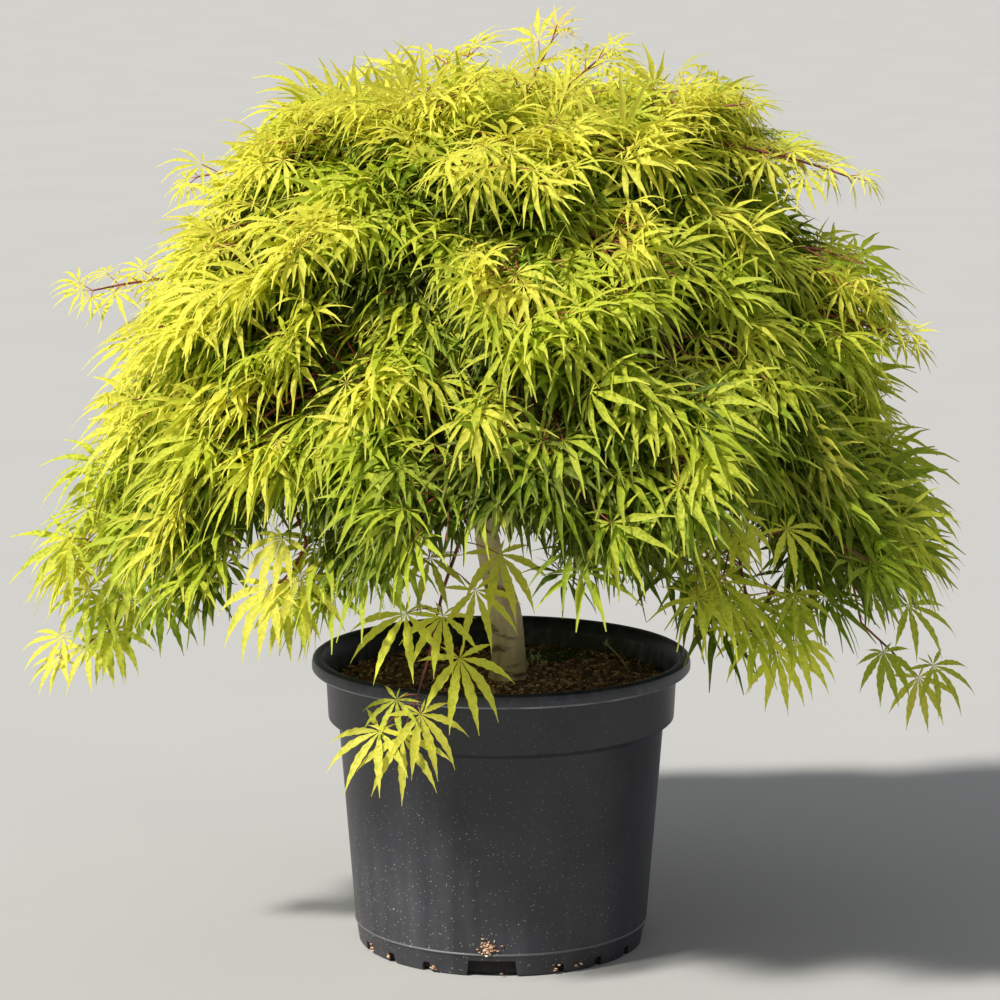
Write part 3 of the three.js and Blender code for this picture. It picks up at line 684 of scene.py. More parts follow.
class Plant:
    """Everything that grows: limbs by kind, and leaves with their place, pose, size and tint."""

    def __init__(self, settings):
        self.settings = settings
        self.limbs = {"stem": [], "twig": [], "twiglet": [], "petiole": []}
        self.leaves = []
        self.sprays = []
        self.boughs = boughs()
        self.stems = stems(self.boughs)
        for stem in [*self.stems, *between_stems(self.boughs)]:
            self.grow_mass(stem)
        self.deal_out_tints()

    def limb(self, kind, line, radius):
        """Keeps a limb that tapers from one radius to another."""
        count = len(line.points)
        radii = [mix(radius[0], radius[1], k / (count - 1)) for k in range(count)]
        self.limbs[kind].append((line.points, radii))

    def grow_mass(self, stem):
        """One mass: opposite pairs of twigs along its stem, then its shoots or its hanging spray."""
        random = Random(stem["seed"] * 7919)
        line = stem["line"]
        spray = SPRAYS.get(stem["name"])
        last = spray["from"] if spray else 1.0
        shown = Line([line.at(last * k / STEM_PARTS) for k in range(STEM_PARTS + 1)])
        self.limb("stem", shown, (STEM_RADIUS[0], mix(*STEM_RADIUS, last)))
        for at in TWIG["at"]:
            for side in (-1, 1):
                if at < last:
                    place = at + random.about(TWIG["slip"])
                    self.grow_twig(line, place, side, random, stem["low"])
        if spray:
            self.grow_spray(line, spray, random)
        else:
            self.leaf_group(line.at(1.0), line.heading(1.0), random, 1.0, stem["low"])
        for shoot in SHOOTS:
            if shoot["mass"] == stem["name"]:
                self.grow_shoot(line, shoot, random)

    def grow_twig(self, stem_line, at, side, random, low):
        """A twig out of a stem, bent down by its weight, with its twiglets and leaves."""
        along = stem_line.heading(at)
        sideways = along.cross(UP).normalized()
        outward = sideways.cross(along).normalized()
        angle = (TWIG["angle"] + random.about(TWIG["turn"])) * DEGREE
        length = self.settings.twig_length * random.over(*TWIG["factor"])
        length *= TWIG["at_foot"] - TWIG["shorter"] * at
        heading = along * math.cos(angle) + sideways * side * math.sin(angle)
        heading += outward * (TWIG["out"] + random.about(TWIG["stray"]))
        start = stem_line.at(at)
        end = start + heading * length - UP * SINK * length
        middle = start + heading * BEND_AT * length + outward * TWIG["arch"] * length
        line = arc(start, middle, end, TWIG["steps"])
        self.limb("twig", line, TWIG["radius"])
        for share in TWIGLET["at"]:
            for way in (-1, 1):
                place = share + random.about(TWIGLET["slip"])
                self.grow_twiglet(line, place, way, random, low)
        self.leaf_group(end, line.heading(1.0), random, 1.0, low)

    def grow_twiglet(self, twig_line, at, way, random, low):
        """A twiglet out of a twig, with a group of leaves at its end."""
        along = twig_line.heading(at)
        out = way_out(twig_line.at(at))
        across = along.cross(out).normalized()
        angle = (TWIGLET["angle"] + random.about(TWIGLET["turn"])) * DEGREE
        length = twig_line.length * TWIGLET["length"] * random.over(*TWIGLET["factor"])
        heading = along * math.cos(angle) + across * way * math.sin(angle)
        heading += out * random.about(TWIGLET["stray"])
        start = twig_line.at(at)
        end = start + heading * length - UP * SINK * length
        line = arc(start, start + heading * BEND_AT * length, end, TWIGLET["steps"])
        self.limb("twiglet", line, TWIGLET["radius"])
        self.leaf_group(end, line.heading(1.0), random, TWIGLET["leaves"], low)

    def grow_shoot(self, stem_line, shoot, random):
        """A long young shoot that stands out of the crown, its pairs of leaves turned in turn."""
        start = stem_line.at(shoot["from"])
        end = polar(shoot["azimuth"], shoot["reach"], shoot["z"])
        bend = start.lerp(end, BEND_AT) + UP * SHOOT["arch"]
        line = arc(start, bend, end, SHOOT["steps"])
        self.limb("twig", line, SHOOT["radius"])
        pairs = max(round(line.length / SHOOT["step"]), 2)
        for pair in range(pairs):
            share = mix(*SHOOT["pairs"], pair / (pairs - 1))
            for side in (-1, 1):
                self.shoot_leaf(line, share, 1 - 2 * (pair % 2), side, "lemon", random, SHOOT["size"])
        for side in (-1, 1, 0):
            self.shoot_leaf(line, 1.0, 1, side, shoot["tint"], random, SHOOT["tip_size"])

    def shoot_leaf(self, line, share, way, side, tint, random, size):
        """A leaf of a young shoot: it stands out along the shoot, and only its tips bend down."""
        node, heading = line.at(share), line.heading(share)
        level = heading.cross(UP).normalized()
        across = (level + level.cross(heading) * SHOOT["roll"] * way).normalized()
        angle = (SHOOT["angle"] + random.about(SHOOT["turn"])) * DEGREE * side
        stalk = heading * math.cos(angle) + across * math.sin(angle)
        stalk += UP * (SHOOT["rise"] + random.about(SHOOT["rise_stray"]))
        foot = node + stalk * self.settings.petiole_length * random.over(*SHOOT["stalk"])
        middle = stalk - UP * (SHOOT["hang"] + random.about(SHOOT["hang_stray"]))
        leaf_size = self.settings.lobe_length * size * random.over(*SHOOT["factor"])
        face = SHOOT_FACE + random.vector(SHOOT["face_stray"])
        self.limb("petiole", Line([node, foot]), STALK_RADIUS)
        self.place_leaf(foot, middle, face, leaf_size, tint, random)

    def grow_spray(self, stem_line, spray, random):
        """A shoot that hangs free under the crown, with a stalk to each of its leaves."""
        points = [stem_line.at(spray["from"]), *(Vector(p) for p in spray["points"])]
        line = Line(points)
        self.limb("twig", line, SHOOT["radius"])
        shares = [k / SPRAY_PARTS for k in range(2, SPRAY_PARTS + 1)]
        for place, lean, size, tint in spray["leaves"]:
            foot = Vector(place)
            near = [(line.at(share) - foot - UP * FREE_LEAF["above"]).length for share in shares]
            node = line.at(shares[near.index(min(near))])
            bend = node.lerp(foot, FREE_LEAF["bend"]) + UP * FREE_LEAF["arch"]
            self.limb("petiole", arc(node, bend, foot, 3), STALK_RADIUS)
            across = math.sin(lean * DEGREE)
            middle = Vector((across, -FREE_LEAF["forward"], -math.cos(lean * DEGREE)))
            middle += random.vector(FREE_LEAF["stray"])
            face = Vector((across * FREE_FACE[0], *FREE_FACE[1:]))
            self.place_leaf(foot, middle, face, size, tint, random, broad=True)

    def leaf_group(self, node, heading, random, size, low):
        """The spray of leaves at a limb's end: an opposite pair, and one straight on."""
        spray = len(self.sprays)
        middle = node + heading * SPRAY_BEYOND
        self.sprays.append((middle, random.about(SCORE["chance"])))
        for side in (-1, 1, 0):
            self.leaf(node, heading, side, spray, random, size, low)

    def leaf(self, node, heading, side, tint, random, size, low):
        """A leaf on its stalk: the blade hangs outward and down, like an umbrella."""
        out = way_out(node)
        level = Vector((out.x, out.y, 0))
        across = heading.cross(out).normalized()
        angle = STALK["angle"] * DEGREE * side
        stalk = heading * math.cos(angle) + across * math.sin(angle) + out * STALK["out"]
        stalk = (stalk + random.vector(STALK["stray"])).normalized()
        length = self.settings.petiole_length * random.over(*STALK["factor"]) * size
        foot = node + stalk * length - UP * STALK["sink"] * length
        young = min(max((foot.z - AGE_FROM) / AGE_RISE, 0.0), 1.0)
        hang = mix(*LEAF["hang"], young)
        middle = stalk * LEAF["along_stalk"] + level * mix(*LEAF["out"], young)
        middle -= UP * (LEAF["down"] + hang * level.length)
        middle = (middle + random.vector(LEAF["stray"])).normalized()
        face = UP * mix(*LEAF["face_up"], young) + out * mix(*LEAF["face_out"], young)
        face += SUN_WAY * LEAF["face_sun"]
        face += random.vector(LEAF["face_stray"])
        leaf_size = self.settings.lobe_length * size * mix(*LEAF["size"], young)
        leaf_size *= random.over(*LEAF["factor"])
        if self.has_room(foot, middle, leaf_size, low):
            self.limb("petiole", Line([node, foot]), STALK_RADIUS)
            self.place_leaf(foot, middle, face, leaf_size, tint, random)

    def place_leaf(self, foot, middle, face, size, tint, random, broad=False):
        """Keeps a leaf, with its face turned square to its middle lobe."""
        first, last = (BROAD_FROM, len(BLADES)) if broad else (0, BROAD_FROM)
        middle = middle.normalized()
        face = (face - middle * face.dot(middle)).normalized()
        self.leaves.append({
            "foot": foot, "middle": middle, "face": face, "size": size, "tint": tint, "cover": 0.0,
            "blade": min(first + int(random() * (last - first)), last - 1),
        })

    def has_room(self, foot, middle, size, low):
        """Whether a blade keeps clear of the pot, of the open space under the crown and of the box."""
        for place in (foot, foot + middle * size * 0.6, foot + middle * size):
            radius = math.hypot(place.x, place.y)
            if place.z < low:
                return False
            if any(radius < reach and place.z < height for reach, height in ROOMS):
                return False
            if place.y < 0 and any(a < place.x < b and place.z < height for a, b, height in WINDOWS):
                return False
            for k in range(3):
                if not CAD_BOX[0][k] - BOX_ROOM < place[k] < CAD_BOX[1][k] + BOX_ROOM:
                    return False
        return True

    def deal_out_tints(self):
        """Gives each spray its tint of painted light and shade: yellow in the open, the sun and the top,
        green under cover.
        """
        places = np.array([place for place, _ in self.sprays])
        outs = np.array([way_out(place) for place, _ in self.sprays])
        for number, (place, chance) in enumerate(self.sprays):
            apart = places - places[number]
            above = apart @ outs[number]
            aside = np.sum(apart**2, 1) - above**2
            near = (above > COVER["from"]) & (above < COVER["to"])
            cover = np.sum(np.exp(-aside / COVER["width"] ** 2) * near)
            sun = max(Vector(outs[number]).dot(SUNNY_SIDE), SCORE["least_sun"])
            score = SCORE["sun"] * sun + SCORE["height"] * (place.z - SCORE["height_from"])
            score = score + SCORE["start"] + chance - SCORE["cover"] * cover
            self.sprays[number] = (self.named_tint(score), cover)
        for leaf in self.leaves:
            if isinstance(leaf["tint"], int):
                leaf["tint"], leaf["cover"] = self.sprays[leaf["tint"]]

    def named_tint(self, score):
        """The name of the tint that a score stands for."""
        for name, least in TINTS:
            if score > least:
                return name
        return "deep_shade"


@functools.cache
def plant():
    """The plant, grown once for all the pieces that show a part of it."""
    return Plant(bpy.context.scene.maple_plant)


# Mesh helpers


def clear_selection():
    """Leaves nothing selected, so that an operator acts on the new object alone."""
    bpy.ops.object.select_all(action="DESELECT")


def only(obj):
    """Makes an object the active one and the only one selected."""
    clear_selection()
    obj.select_set(True)
    bpy.context.view_layer.objects.active = obj


def apply_all(obj):
    """Applies an object's modifiers in order."""
    only(obj)
    for modifier in list(obj.modifiers):
        bpy.ops.object.modifier_apply(modifier=modifier.name)


def finish_piece(obj, name, material, slot, *nodes):
    """Names a piece, gives it its finish and hangs it on the frame in place of its nodes."""
    obj.name = name
    obj.data.name = name
    obj.data.materials.clear()
    obj.data.materials.append(material)
    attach(obj, BODY)
    if nodes:
        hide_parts(*nodes)
    return obj


def drawn_up(profile, sides):
    """A solid of revolution: a disc drawn out ring by ring along a profile of radius and height."""
    clear_selection()
    radius, z = profile[0]
    bpy.ops.mesh.primitive_circle_add(
        vertices=sides, radius=radius, fill_type="NGON", location=(0, 0, z)
    )
    bpy.ops.object.transform_apply(location=True)
    bpy.ops.object.mode_set(mode="EDIT")
    for next_radius, next_z in profile[1:]:
        share = next_radius / radius
        bpy.ops.mesh.extrude_region_move(TRANSFORM_OT_translate={"value": (0, 0, next_z - z)})
        bpy.ops.transform.resize(value=(share, share, 1), center_override=(0, 0, next_z))
        radius, z = next_radius, next_z
    bpy.ops.mesh.select_all(action="SELECT")
    bpy.ops.mesh.normals_make_consistent(inside=False)
    bpy.ops.object.mode_set(mode="OBJECT")
    return bpy.context.object


def mesh_of(name, corners, triangles, marks=None):
    """A mesh object from arrays of corners and triangles, with marks on its corners for a material."""
    mesh = bpy.data.meshes.new(name)
    mesh.vertices.add(len(corners))
    mesh.vertices.foreach_set("co", corners.astype(np.float32).ravel())
    mesh.loops.add(triangles.size)
    mesh.loops.foreach_set("vertex_index", triangles.astype(np.int32).ravel())
    mesh.polygons.add(len(triangles))
    mesh.polygons.foreach_set("loop_start", np.arange(0, triangles.size, 3, dtype=np.int32))
    mesh.update(calc_edges=True)
    mesh.polygons.foreach_set("use_smooth", np.ones(len(triangles), bool))
    if marks is not None:
        layer = mesh.attributes.new("lobe", "FLOAT_VECTOR", "POINT")
        layer.data.foreach_set("vector", marks.astype(np.float32).ravel())
    obj = bpy.data.objects.new(name, mesh)
    bpy.context.scene.collection.objects.link(obj)
    return obj


def copies(shape, places, turns, sizes):
    """Many copies of a shape in one pair of arrays: each with its place, its turn and its size."""
    corners, triangles = shape
    spread = np.einsum("nij,vj->nvi", turns, corners) * sizes[:, None, None]
    all_corners = (spread + places[:, None, :]).reshape(-1, 3)
    steps = (np.arange(len(places)) * len(corners))[:, None, None]
    return all_corners, (triangles[None] + steps).reshape(-1, 3)


def arrays_of(obj):
    """A modelled shape's corners and triangles, to be copied many times over. It is then removed."""
    only(obj)
    bpy.ops.object.mode_set(mode="EDIT")
    bpy.ops.mesh.select_all(action="SELECT")
    bpy.ops.mesh.quads_convert_to_tris()
    bpy.ops.object.mode_set(mode="OBJECT")
    mesh = obj.data
    corners = np.zeros(len(mesh.vertices) * 3)
    mesh.vertices.foreach_get("co", corners)
    triangles = np.array([list(face.vertices) for face in mesh.polygons])
    bpy.data.objects.remove(obj)
    return corners.reshape(-1, 3), triangles


def section(sides):
    """A small polygon that limbs are drawn along, as a curve of radius 1."""
    curve = bpy.data.curves.new("section", "CURVE")
    spline = curve.splines.new("POLY")
    spline.points.add(sides - 1)
    for k, point in enumerate(spline.points):
        angle = 2 * math.pi * k / sides
        point.co = (math.cos(angle), math.sin(angle), 0, 1)
    spline.use_cyclic_u = True
    obj = bpy.data.objects.new("section", curve)
    bpy.context.scene.collection.objects.link(obj)
    return obj


def limbs_mesh(name, limbs, sides):
    """Tapering limbs as one mesh: a section drawn along each line, closed at both ends."""
    shape = section(sides)
    curve = bpy.data.curves.new(name, "CURVE")
    curve.dimensions = "3D"
    curve.bevel_mode = "OBJECT"
    curve.bevel_object = shape
    curve.use_fill_caps = True
    for points, radii in limbs:
        spline = curve.splines.new("POLY")
        spline.points.add(len(points) - 1)
        spline.points.foreach_set("co", [x for p in points for x in (*p, 1)])
        spline.points.foreach_set("radius", radii)
    obj = bpy.data.objects.new(name, curve)
    bpy.context.scene.collection.objects.link(obj)
    only(obj)
    bpy.ops.object.convert(target="MESH")
    obj = bpy.context.object
    bpy.data.objects.remove(shape)
    bpy.ops.object.shade_smooth()
    return obj


# Materials


class Nodes:
    """A new material's node tree, with short calls to add and link nodes."""

    def __init__(self, name):
        self.material = bpy.data.materials.new(name)
        self.material.use_nodes = True
        self.tree = self.material.node_tree
        self.surface = self.tree.nodes["Principled BSDF"]
        self.place = self.tree.nodes.new("ShaderNodeTexCoord").outputs["Object"]

    def add(self, kind, **settings):
        """A node with its properties set."""
        node = self.tree.nodes.new("ShaderNode" + kind)
        for key, value in settings.items():
            setattr(node, key, value)
        return node

    def link(self, output, entry):
        """Joins an output to an input."""
        self.tree.links.new(output, entry)

    def stretched(self, scale, turn=(0, 0, 0)):
        """Object coordinates scaled by axis, after a turn."""
        node = self.add("Mapping")
        node.inputs["Scale"].default_value = scale
        node.inputs["Rotation"].default_value = turn
        self.link(self.place, node.inputs["Vector"])
        return node.outputs["Vector"]

    def noise(self, scale, detail=3.0, vector=None, roughness=0.5):
        """Noise from 0 to 1."""
        node = self.add("TexNoise")
        node.inputs["Scale"].default_value = scale
        node.inputs["Detail"].default_value = detail
        node.inputs["Roughness"].default_value = roughness
        self.link(vector or self.place, node.inputs["Vector"])
        return node.outputs["Fac"]

    def ramp(self, value, low, high, start=0.0, end=1.0):
        """Maps a value between low and high to start and end, and holds it there."""
        node = self.add("MapRange")
        for key, number in zip(("From Min", "From Max", "To Min", "To Max"), (low, high, start, end)):
            node.inputs[key].default_value = number
        self.link(value, node.inputs["Value"])
        return node.outputs["Result"]

    def band(self, value, rise, fall):
        """1 between two soft changes of a value, and 0 below and above them."""
        return self.times(self.ramp(value, *rise), self.ramp(value, *fall, 1.0, 0.0))

    def blend(self, share, first, second):
        """A mix of two colours, each a colour or an output."""
        node = self.add("Mix", data_type="RGBA")
        self.link(share, node.inputs["Factor"])
        for key, colour in (("A", first), ("B", second)):
            entry = next(i for i in node.inputs if i.name == key and i.type == "RGBA")
            if isinstance(colour, bpy.types.NodeSocket):
                self.link(colour, entry)
            else:
                entry.default_value = (*colour[:3], 1)
        return next(o for o in node.outputs if o.type == "RGBA")

    def times(self, first, second):
        """Two values multiplied."""
        node = self.add("Math", operation="MULTIPLY")
        for entry, value in zip(node.inputs, (first, second)):
            if isinstance(value, bpy.types.NodeSocket):
                self.link(value, entry)
            else:
                entry.default_value = value
        return node.outputs["Value"]

    def along(self, axis):
        """The place along an axis of the frame."""
        node = self.add("SeparateXYZ")
        self.link(self.place, node.inputs["Vector"])
        return node.outputs[axis]

    def marks(self, name):
        """The first two values of a mark on the mesh."""
        node = self.add("Attribute", attribute_name=name)
        parts = self.add("SeparateXYZ")
        self.link(node.outputs["Vector"], parts.inputs["Vector"])
        return parts.outputs["X"], parts.outputs["Y"]

    def radius(self):
        """The distance from the pot's axis."""
        node = self.add("VectorMath", operation="LENGTH")
        self.link(self.stretched((1, 1, 0)), node.inputs[0])
        return node.outputs["Value"]

    def specks(self, scale, size, chosen):
        """Round specks in some of the cells of an uneven grid."""
        cells = self.add("TexVoronoi", feature="F1")
        cells.inputs["Scale"].default_value = scale
        self.link(self.place, cells.inputs["Vector"])
        dot = self.ramp(cells.outputs["Distance"], size * 0.45, size, 1.0, 0.0)
        return self.times(dot, self.ramp(cells.outputs["Color"], chosen, chosen + 0.05))

    def relief(self, value, strength, distance):
        """Bump on the surface from a value."""
        node = self.add("Bump")
        node.inputs["Strength"].default_value = strength
        node.inputs["Distance"].default_value = distance
        self.link(value, node.inputs["Height"])
        self.link(node.outputs["Normal"], self.surface.inputs["Normal"])

    def set(self, **values):
        """Sets the shader's own sockets."""
        for key, value in values.items():
            self.surface.inputs[key.replace("_", " ")].default_value = value


def plastic_material(pot):
    """Charcoal moulded plastic: a paler scuffed lip with a painted edge highlight, dust in streaks and
    specks, painted dapples of light inside.
    """
    n = Nodes("nursery_pot_plastic")
    z = n.along("Z")
    outside = n.ramp(n.radius(), *WALL_TURN)
    base = n.blend(n.ramp(n.noise(14, 4), 0.35, 0.7), pot.plastic_dark, pot.plastic_light)
    scuff = n.ramp(n.noise(80, 5, roughness=0.65), 0.44, 0.66, 0.30, 1.0)
    lipped = n.blend(n.times(n.ramp(z, *LIP_START), scuff), base, pot.lip)
    # Painted highlight: a pale band along the lip's lower outer edge, broken up by noise.
    edge_highlight = n.times(n.band(z, *EDGE_HIGHLIGHT), outside)
    with_edge_highlight = n.blend(n.times(edge_highlight, n.ramp(n.noise(26, 3), 0.36, 0.60, 0.25, 0.9)), lipped, pot.edge_highlight)
    settled = n.times(n.ramp(z, 0.0, 0.20, 1.0, 0.10), n.ramp(n.along("X"), -0.11, 0.12, 1.0, 0.25))
    streak = n.ramp(n.noise(60, 4, n.stretched((1, 1, 0.05))), 0.38, 0.70, 0.35, 1.0)
    cloud = n.ramp(n.noise(20, 4, roughness=0.6), 0.36, 0.70, 0.5, 1.0)
    film = n.times(n.times(settled, streak), cloud)
    dusty = n.blend(n.times(film, 0.42), with_edge_highlight, pot.dust)
    coat = n.blend(n.times(n.band(z, *DUSTY_LINE), 0.45), dusty, pot.dust)
    share = n.ramp(settled, 0.0, 0.8, 0.16, 0.95)
    for scale, size, chosen in SPECKS:
        coat = n.blend(n.times(n.specks(scale, size, chosen), share), coat, pot.speck)
    # Painted dapples of light: pale patches by noise on the inner wall above the compost.
    inside = n.times(n.ramp(n.radius(), *WALL_TURN, 1.0, 0.0), n.ramp(z, *DAPPLE_START))
    painted_dapple = n.times(inside, n.ramp(n.noise(75, 5, n.stretched((1, 1, 0.45))), 0.50, 0.66, 0.0, 0.55))
    n.link(n.blend(painted_dapple, coat, pot.painted_dapple), n.surface.inputs["Base Color"])
    n.link(n.ramp(film, 0.0, 1.0, 0.42, 0.72), n.surface.inputs["Roughness"])
    n.relief(n.noise(420, 3), 0.10, 0.0004)
    return n.material


def compost_material(compost):
    """Dark moist compost, mottled from near black to brown, and painted black as shade where it shows low
    down in the drainage cuts.
    """
    n = Nodes("compost_earth")
    mottled = n.blend(n.ramp(n.noise(120, 5), 0.4, 0.66), compost.dark, compost.brown)
    # Painted shade: black low down, where the compost shows in the drainage cuts.
    lit = n.ramp(n.along("Z"), 0.04, 0.20)
    n.link(n.blend(lit, COMPOST_SHADE, mottled), n.surface.inputs["Base Color"])
    n.set(Roughness=0.9)
    n.relief(n.noise(420, 4), 0.7, 0.0012)
    return n.material


def grain_material(name, colour):
    """One tone of bark chip or granule, a little uneven."""
    n = Nodes(name)
    darker = [c * 0.5 for c in colour[:3]]
    n.link(n.blend(n.ramp(n.noise(240, 3), 0.35, 0.65), darker, colour), n.surface.inputs["Base Color"])
    n.set(Roughness=0.85)
    n.relief(n.noise(700, 2), 0.4, 0.0005)
    return n.material


def bark_material(tree):
    """Tan-grey bark: fine streaks along it, slanting brown ridges and pale patches."""
    n = Nodes("maple_bark")
    streak = n.noise(90, 5, n.stretched((1, 1, 0.22)))
    base = n.blend(n.ramp(streak, 0.34, 0.66), tree.bark_dark, tree.bark_light)
    pale = n.ramp(n.noise(52, 3), 0.54, 0.68)
    patched = n.blend(n.times(pale, 0.5), base, BARK_PATCH)
    slanted = n.stretched((0.55, 0.55, 2.1), (0.55, 0.40, 0.0))
    ridge = n.ramp(n.noise(44, 5, slanted, 0.6), 0.53, 0.62)
    ridged = n.blend(n.times(ridge, 0.85), patched, tree.bark_band)
    high = n.ramp(n.along("Z"), 0.36, 0.48)
    n.link(n.blend(n.times(high, 0.85), ridged, tree.old_wood), n.surface.inputs["Base Color"])
    n.set(Roughness=0.82)
    n.relief(streak, 0.6, 0.0014)
    return n.material


def wood_material(name, dark, light, roughness):
    """Smooth young bark, mottled between two tones."""
    n = Nodes(name)
    n.link(n.blend(n.ramp(n.noise(60, 3), 0.38, 0.62), dark, light), n.surface.inputs["Base Color"])
    n.set(Roughness=roughness)
    n.relief(n.noise(900, 2), 0.25, 0.0003)
    return n.material


def leaf_material(name, colour, fleck):
    """A leaf of one plain tone, mottled with another, paler at its ribs and with a painted highlight at
    its tips. It lets light through.
    """
    n = Nodes("leaf_" + name)
    mottled = n.blend(n.times(n.ramp(n.noise(330, 3), 0.46, 0.62), 0.75), colour, fleck)
    pale = n.blend(n.times(n.ramp(n.noise(26, 2), 0.45, 0.75), 0.25), mottled, LEAF_MOTTLE)
    along, edge = n.marks("lobe")
    # A paler tone: the midribs' own, and a painted highlight at the tips.
    light = [mix(c, rib_and_highlight, LEAF_RIB_AND_HIGHLIGHT_SHARE) for c, rib_and_highlight in zip(colour, LEAF_RIB_AND_HIGHLIGHT)]
    ribbed = n.blend(n.ramp(edge, 0.0, 0.30, 0.45, 0.0), pale, light)
    # Painted highlight towards the tips of the lobes.
    tip_highlighted = n.blend(n.ramp(along, 0.66, 1.0, 0.0, 0.70), ribbed, light)
    n.link(tip_highlighted, n.surface.inputs["Base Color"])
    n.set(Roughness=0.55, Specular_IOR_Level=0.16)
    n.relief(n.noise(700, 2), 0.22, 0.0003)
    through = n.add("BsdfTranslucent")
    through.inputs["Color"].default_value = (*[min(c * LEAF_GLOW, 1.0) for c in colour[:3]], 1)
    both = n.add("MixShader")
    both.inputs[0].default_value = LEAF_THROUGH
    n.link(n.surface.outputs["BSDF"], both.inputs[1])
    n.link(through.outputs["BSDF"], both.inputs[2])
    n.link(both.outputs["Shader"], n.tree.nodes["Material Output"].inputs["Surface"])
    return n.material


# Settings


def length(name, description, default):
    """A length in metres that a user may change."""
    return FloatProperty(name=name, description=description, default=default, unit="LENGTH")


def colour(name, description, default):
    """A colour that a user may change."""
    return FloatVectorProperty(
        name=name, description=description, default=default, subtype="COLOR", size=3, min=0, max=1
    )


class PotSettings(bpy.types.PropertyGroup):
    """Sizes and colours of the pot."""

    height: length("Height", "From the floor to the top of the lip", 0.262)
    rim_radius: length("Rim radius", "Half the width across the lip", 0.170)
    foot_radius: length("Foot radius", "Half the width across the foot", 0.129)
    plastic_dark: colour("Dark plastic", "The plastic's darker tone", (0.0100, 0.0105, 0.015))
    plastic_light: colour("Light plastic", "The plastic's lighter tone", (0.0195, 0.0205, 0.029))
    lip: colour("Lip", "The scuffed plastic of the lip", (0.044, 0.048, 0.062))
    edge_highlight: colour("Worn edge", "The lip's worn lower edge", (0.26, 0.27, 0.29))
    # A pale tone painted as dapples of light on the inner wall above the compost.
    painted_dapple: colour("Stain", "Dried stains on the wall above the compost", (0.16, 0.165, 0.17))
    # A painted highlight along the lip's lower edge.
    dust: colour("Dust", "The dust low on the wall", (0.19, 0.186, 0.196))
    speck: colour("Speck", "Single pale specks", (0.78, 0.76, 0.72))


class CompostSettings(bpy.types.PropertyGroup):
    """Make-up and colours of the compost."""

    dark: colour("Dark", "The darkest compost", (0.085, 0.052, 0.033))
    brown: colour("Brown", "The lighter compost", (0.34, 0.21, 0.130))
    chips: IntProperty(name="Chips", description="Number of loose chips and grains", default=3000)
    chip_brown: colour("Brown chips", "Chips of dark bark", (0.44, 0.24, 0.150))
    chip_tan: colour("Tan chips", "Chips of fresh bark", (1.0, 0.62, 0.38))
    chip_pale: colour("Pale grains", "Grains of light grit", (1.0, 0.88, 0.62))
    moss: colour("Moss", "Moss on the compost", (0.10, 0.16, 0.024))
    seedling: colour("Seedling", "Small weeds on the compost", (0.88, 0.94, 0.42))


class PlantSettings(bpy.types.PropertyGroup):
    """Sizes of leaves and twigs, and colours of the wood."""

    lobe_length: length("Lobe length", "Length of a leaf's middle lobe", 0.060)
    petiole_length: length("Leaf stalk", "Length of a leaf's stalk", 0.026)
    twig_length: length("Twig length", "Length of the twigs on a stem", 0.100)
    bark_light: colour("Light bark", "The trunk's lighter bark", (1.0, 0.82, 0.48))
    bark_dark: colour("Dark bark", "The trunk's darker bark", (0.68, 0.52, 0.28))
    bark_band: colour("Bark bands", "Brown bands across the bark", (0.15, 0.082, 0.042))
    old_wood: colour("Old wood", "Boughs and the thick ends of stems", (0.050, 0.022, 0.014))
    red_wood: colour("Red wood", "Last year's twigs", (0.085, 0.024, 0.016))
    young_wood: colour("Young wood", "This year's twigs", (0.34, 0.070, 0.055))
    stalk: colour("Leaf stalk colour", "The stalks of the leaves", (0.50, 0.17, 0.11))


class LeafColours(bpy.types.PropertyGroup):
    """The plain tones of the leaves, dealt out by spray. Apart from the young one, they paint light and
    shade.
    """

    young: colour("Young", "Unfolding leaves at the shoots' tips", (0.80, 0.64, 0.17))
    # Painted sunlight for leaves low down in the crown's shade.
    pale: colour("Pale", "Leaves low in the open, the brightest for their light", (0.96, 1.0, 0.09))
    lemon: colour("Lemon", "The sunniest leaves", (0.80, 0.76, 0.105))
    sunlit: colour("Sunlit", "Sunny leaves", (0.62, 0.66, 0.060))
    lime: colour("Lime", "Leaves in half light", (0.40, 0.50, 0.030))
    green: colour("Green", "Leaves in shade", (0.18, 0.28, 0.014))
    # Painted shade for the leaves inside the crown.
    deep_shade: colour("Deep green", "Leaves inside the crown", (0.058, 0.104, 0.006))


class StageSettings(bpy.types.PropertyGroup):
    """Floor, light and camera."""

    floor: colour("Floor", "The pale floor", (0.44, 0.44, 0.435))
    key: FloatProperty(name="Key light", description="Strength of the key light", default=5.0)
    fill: FloatProperty(name="Fill light", description="Strength of the light all round", default=0.38)
    distance: length("Camera distance", "From the camera to the pot's axis", 3.3)
    camera_height: length("Camera height", "From the floor to the camera", 0.98604)


SETTINGS = {
    "maple_pot": PotSettings,
    "maple_compost": CompostSettings,
    "maple_plant": PlantSettings,
    "maple_leaves": LeafColours,
    "maple_stage": StageSettings,
}


# Pieces


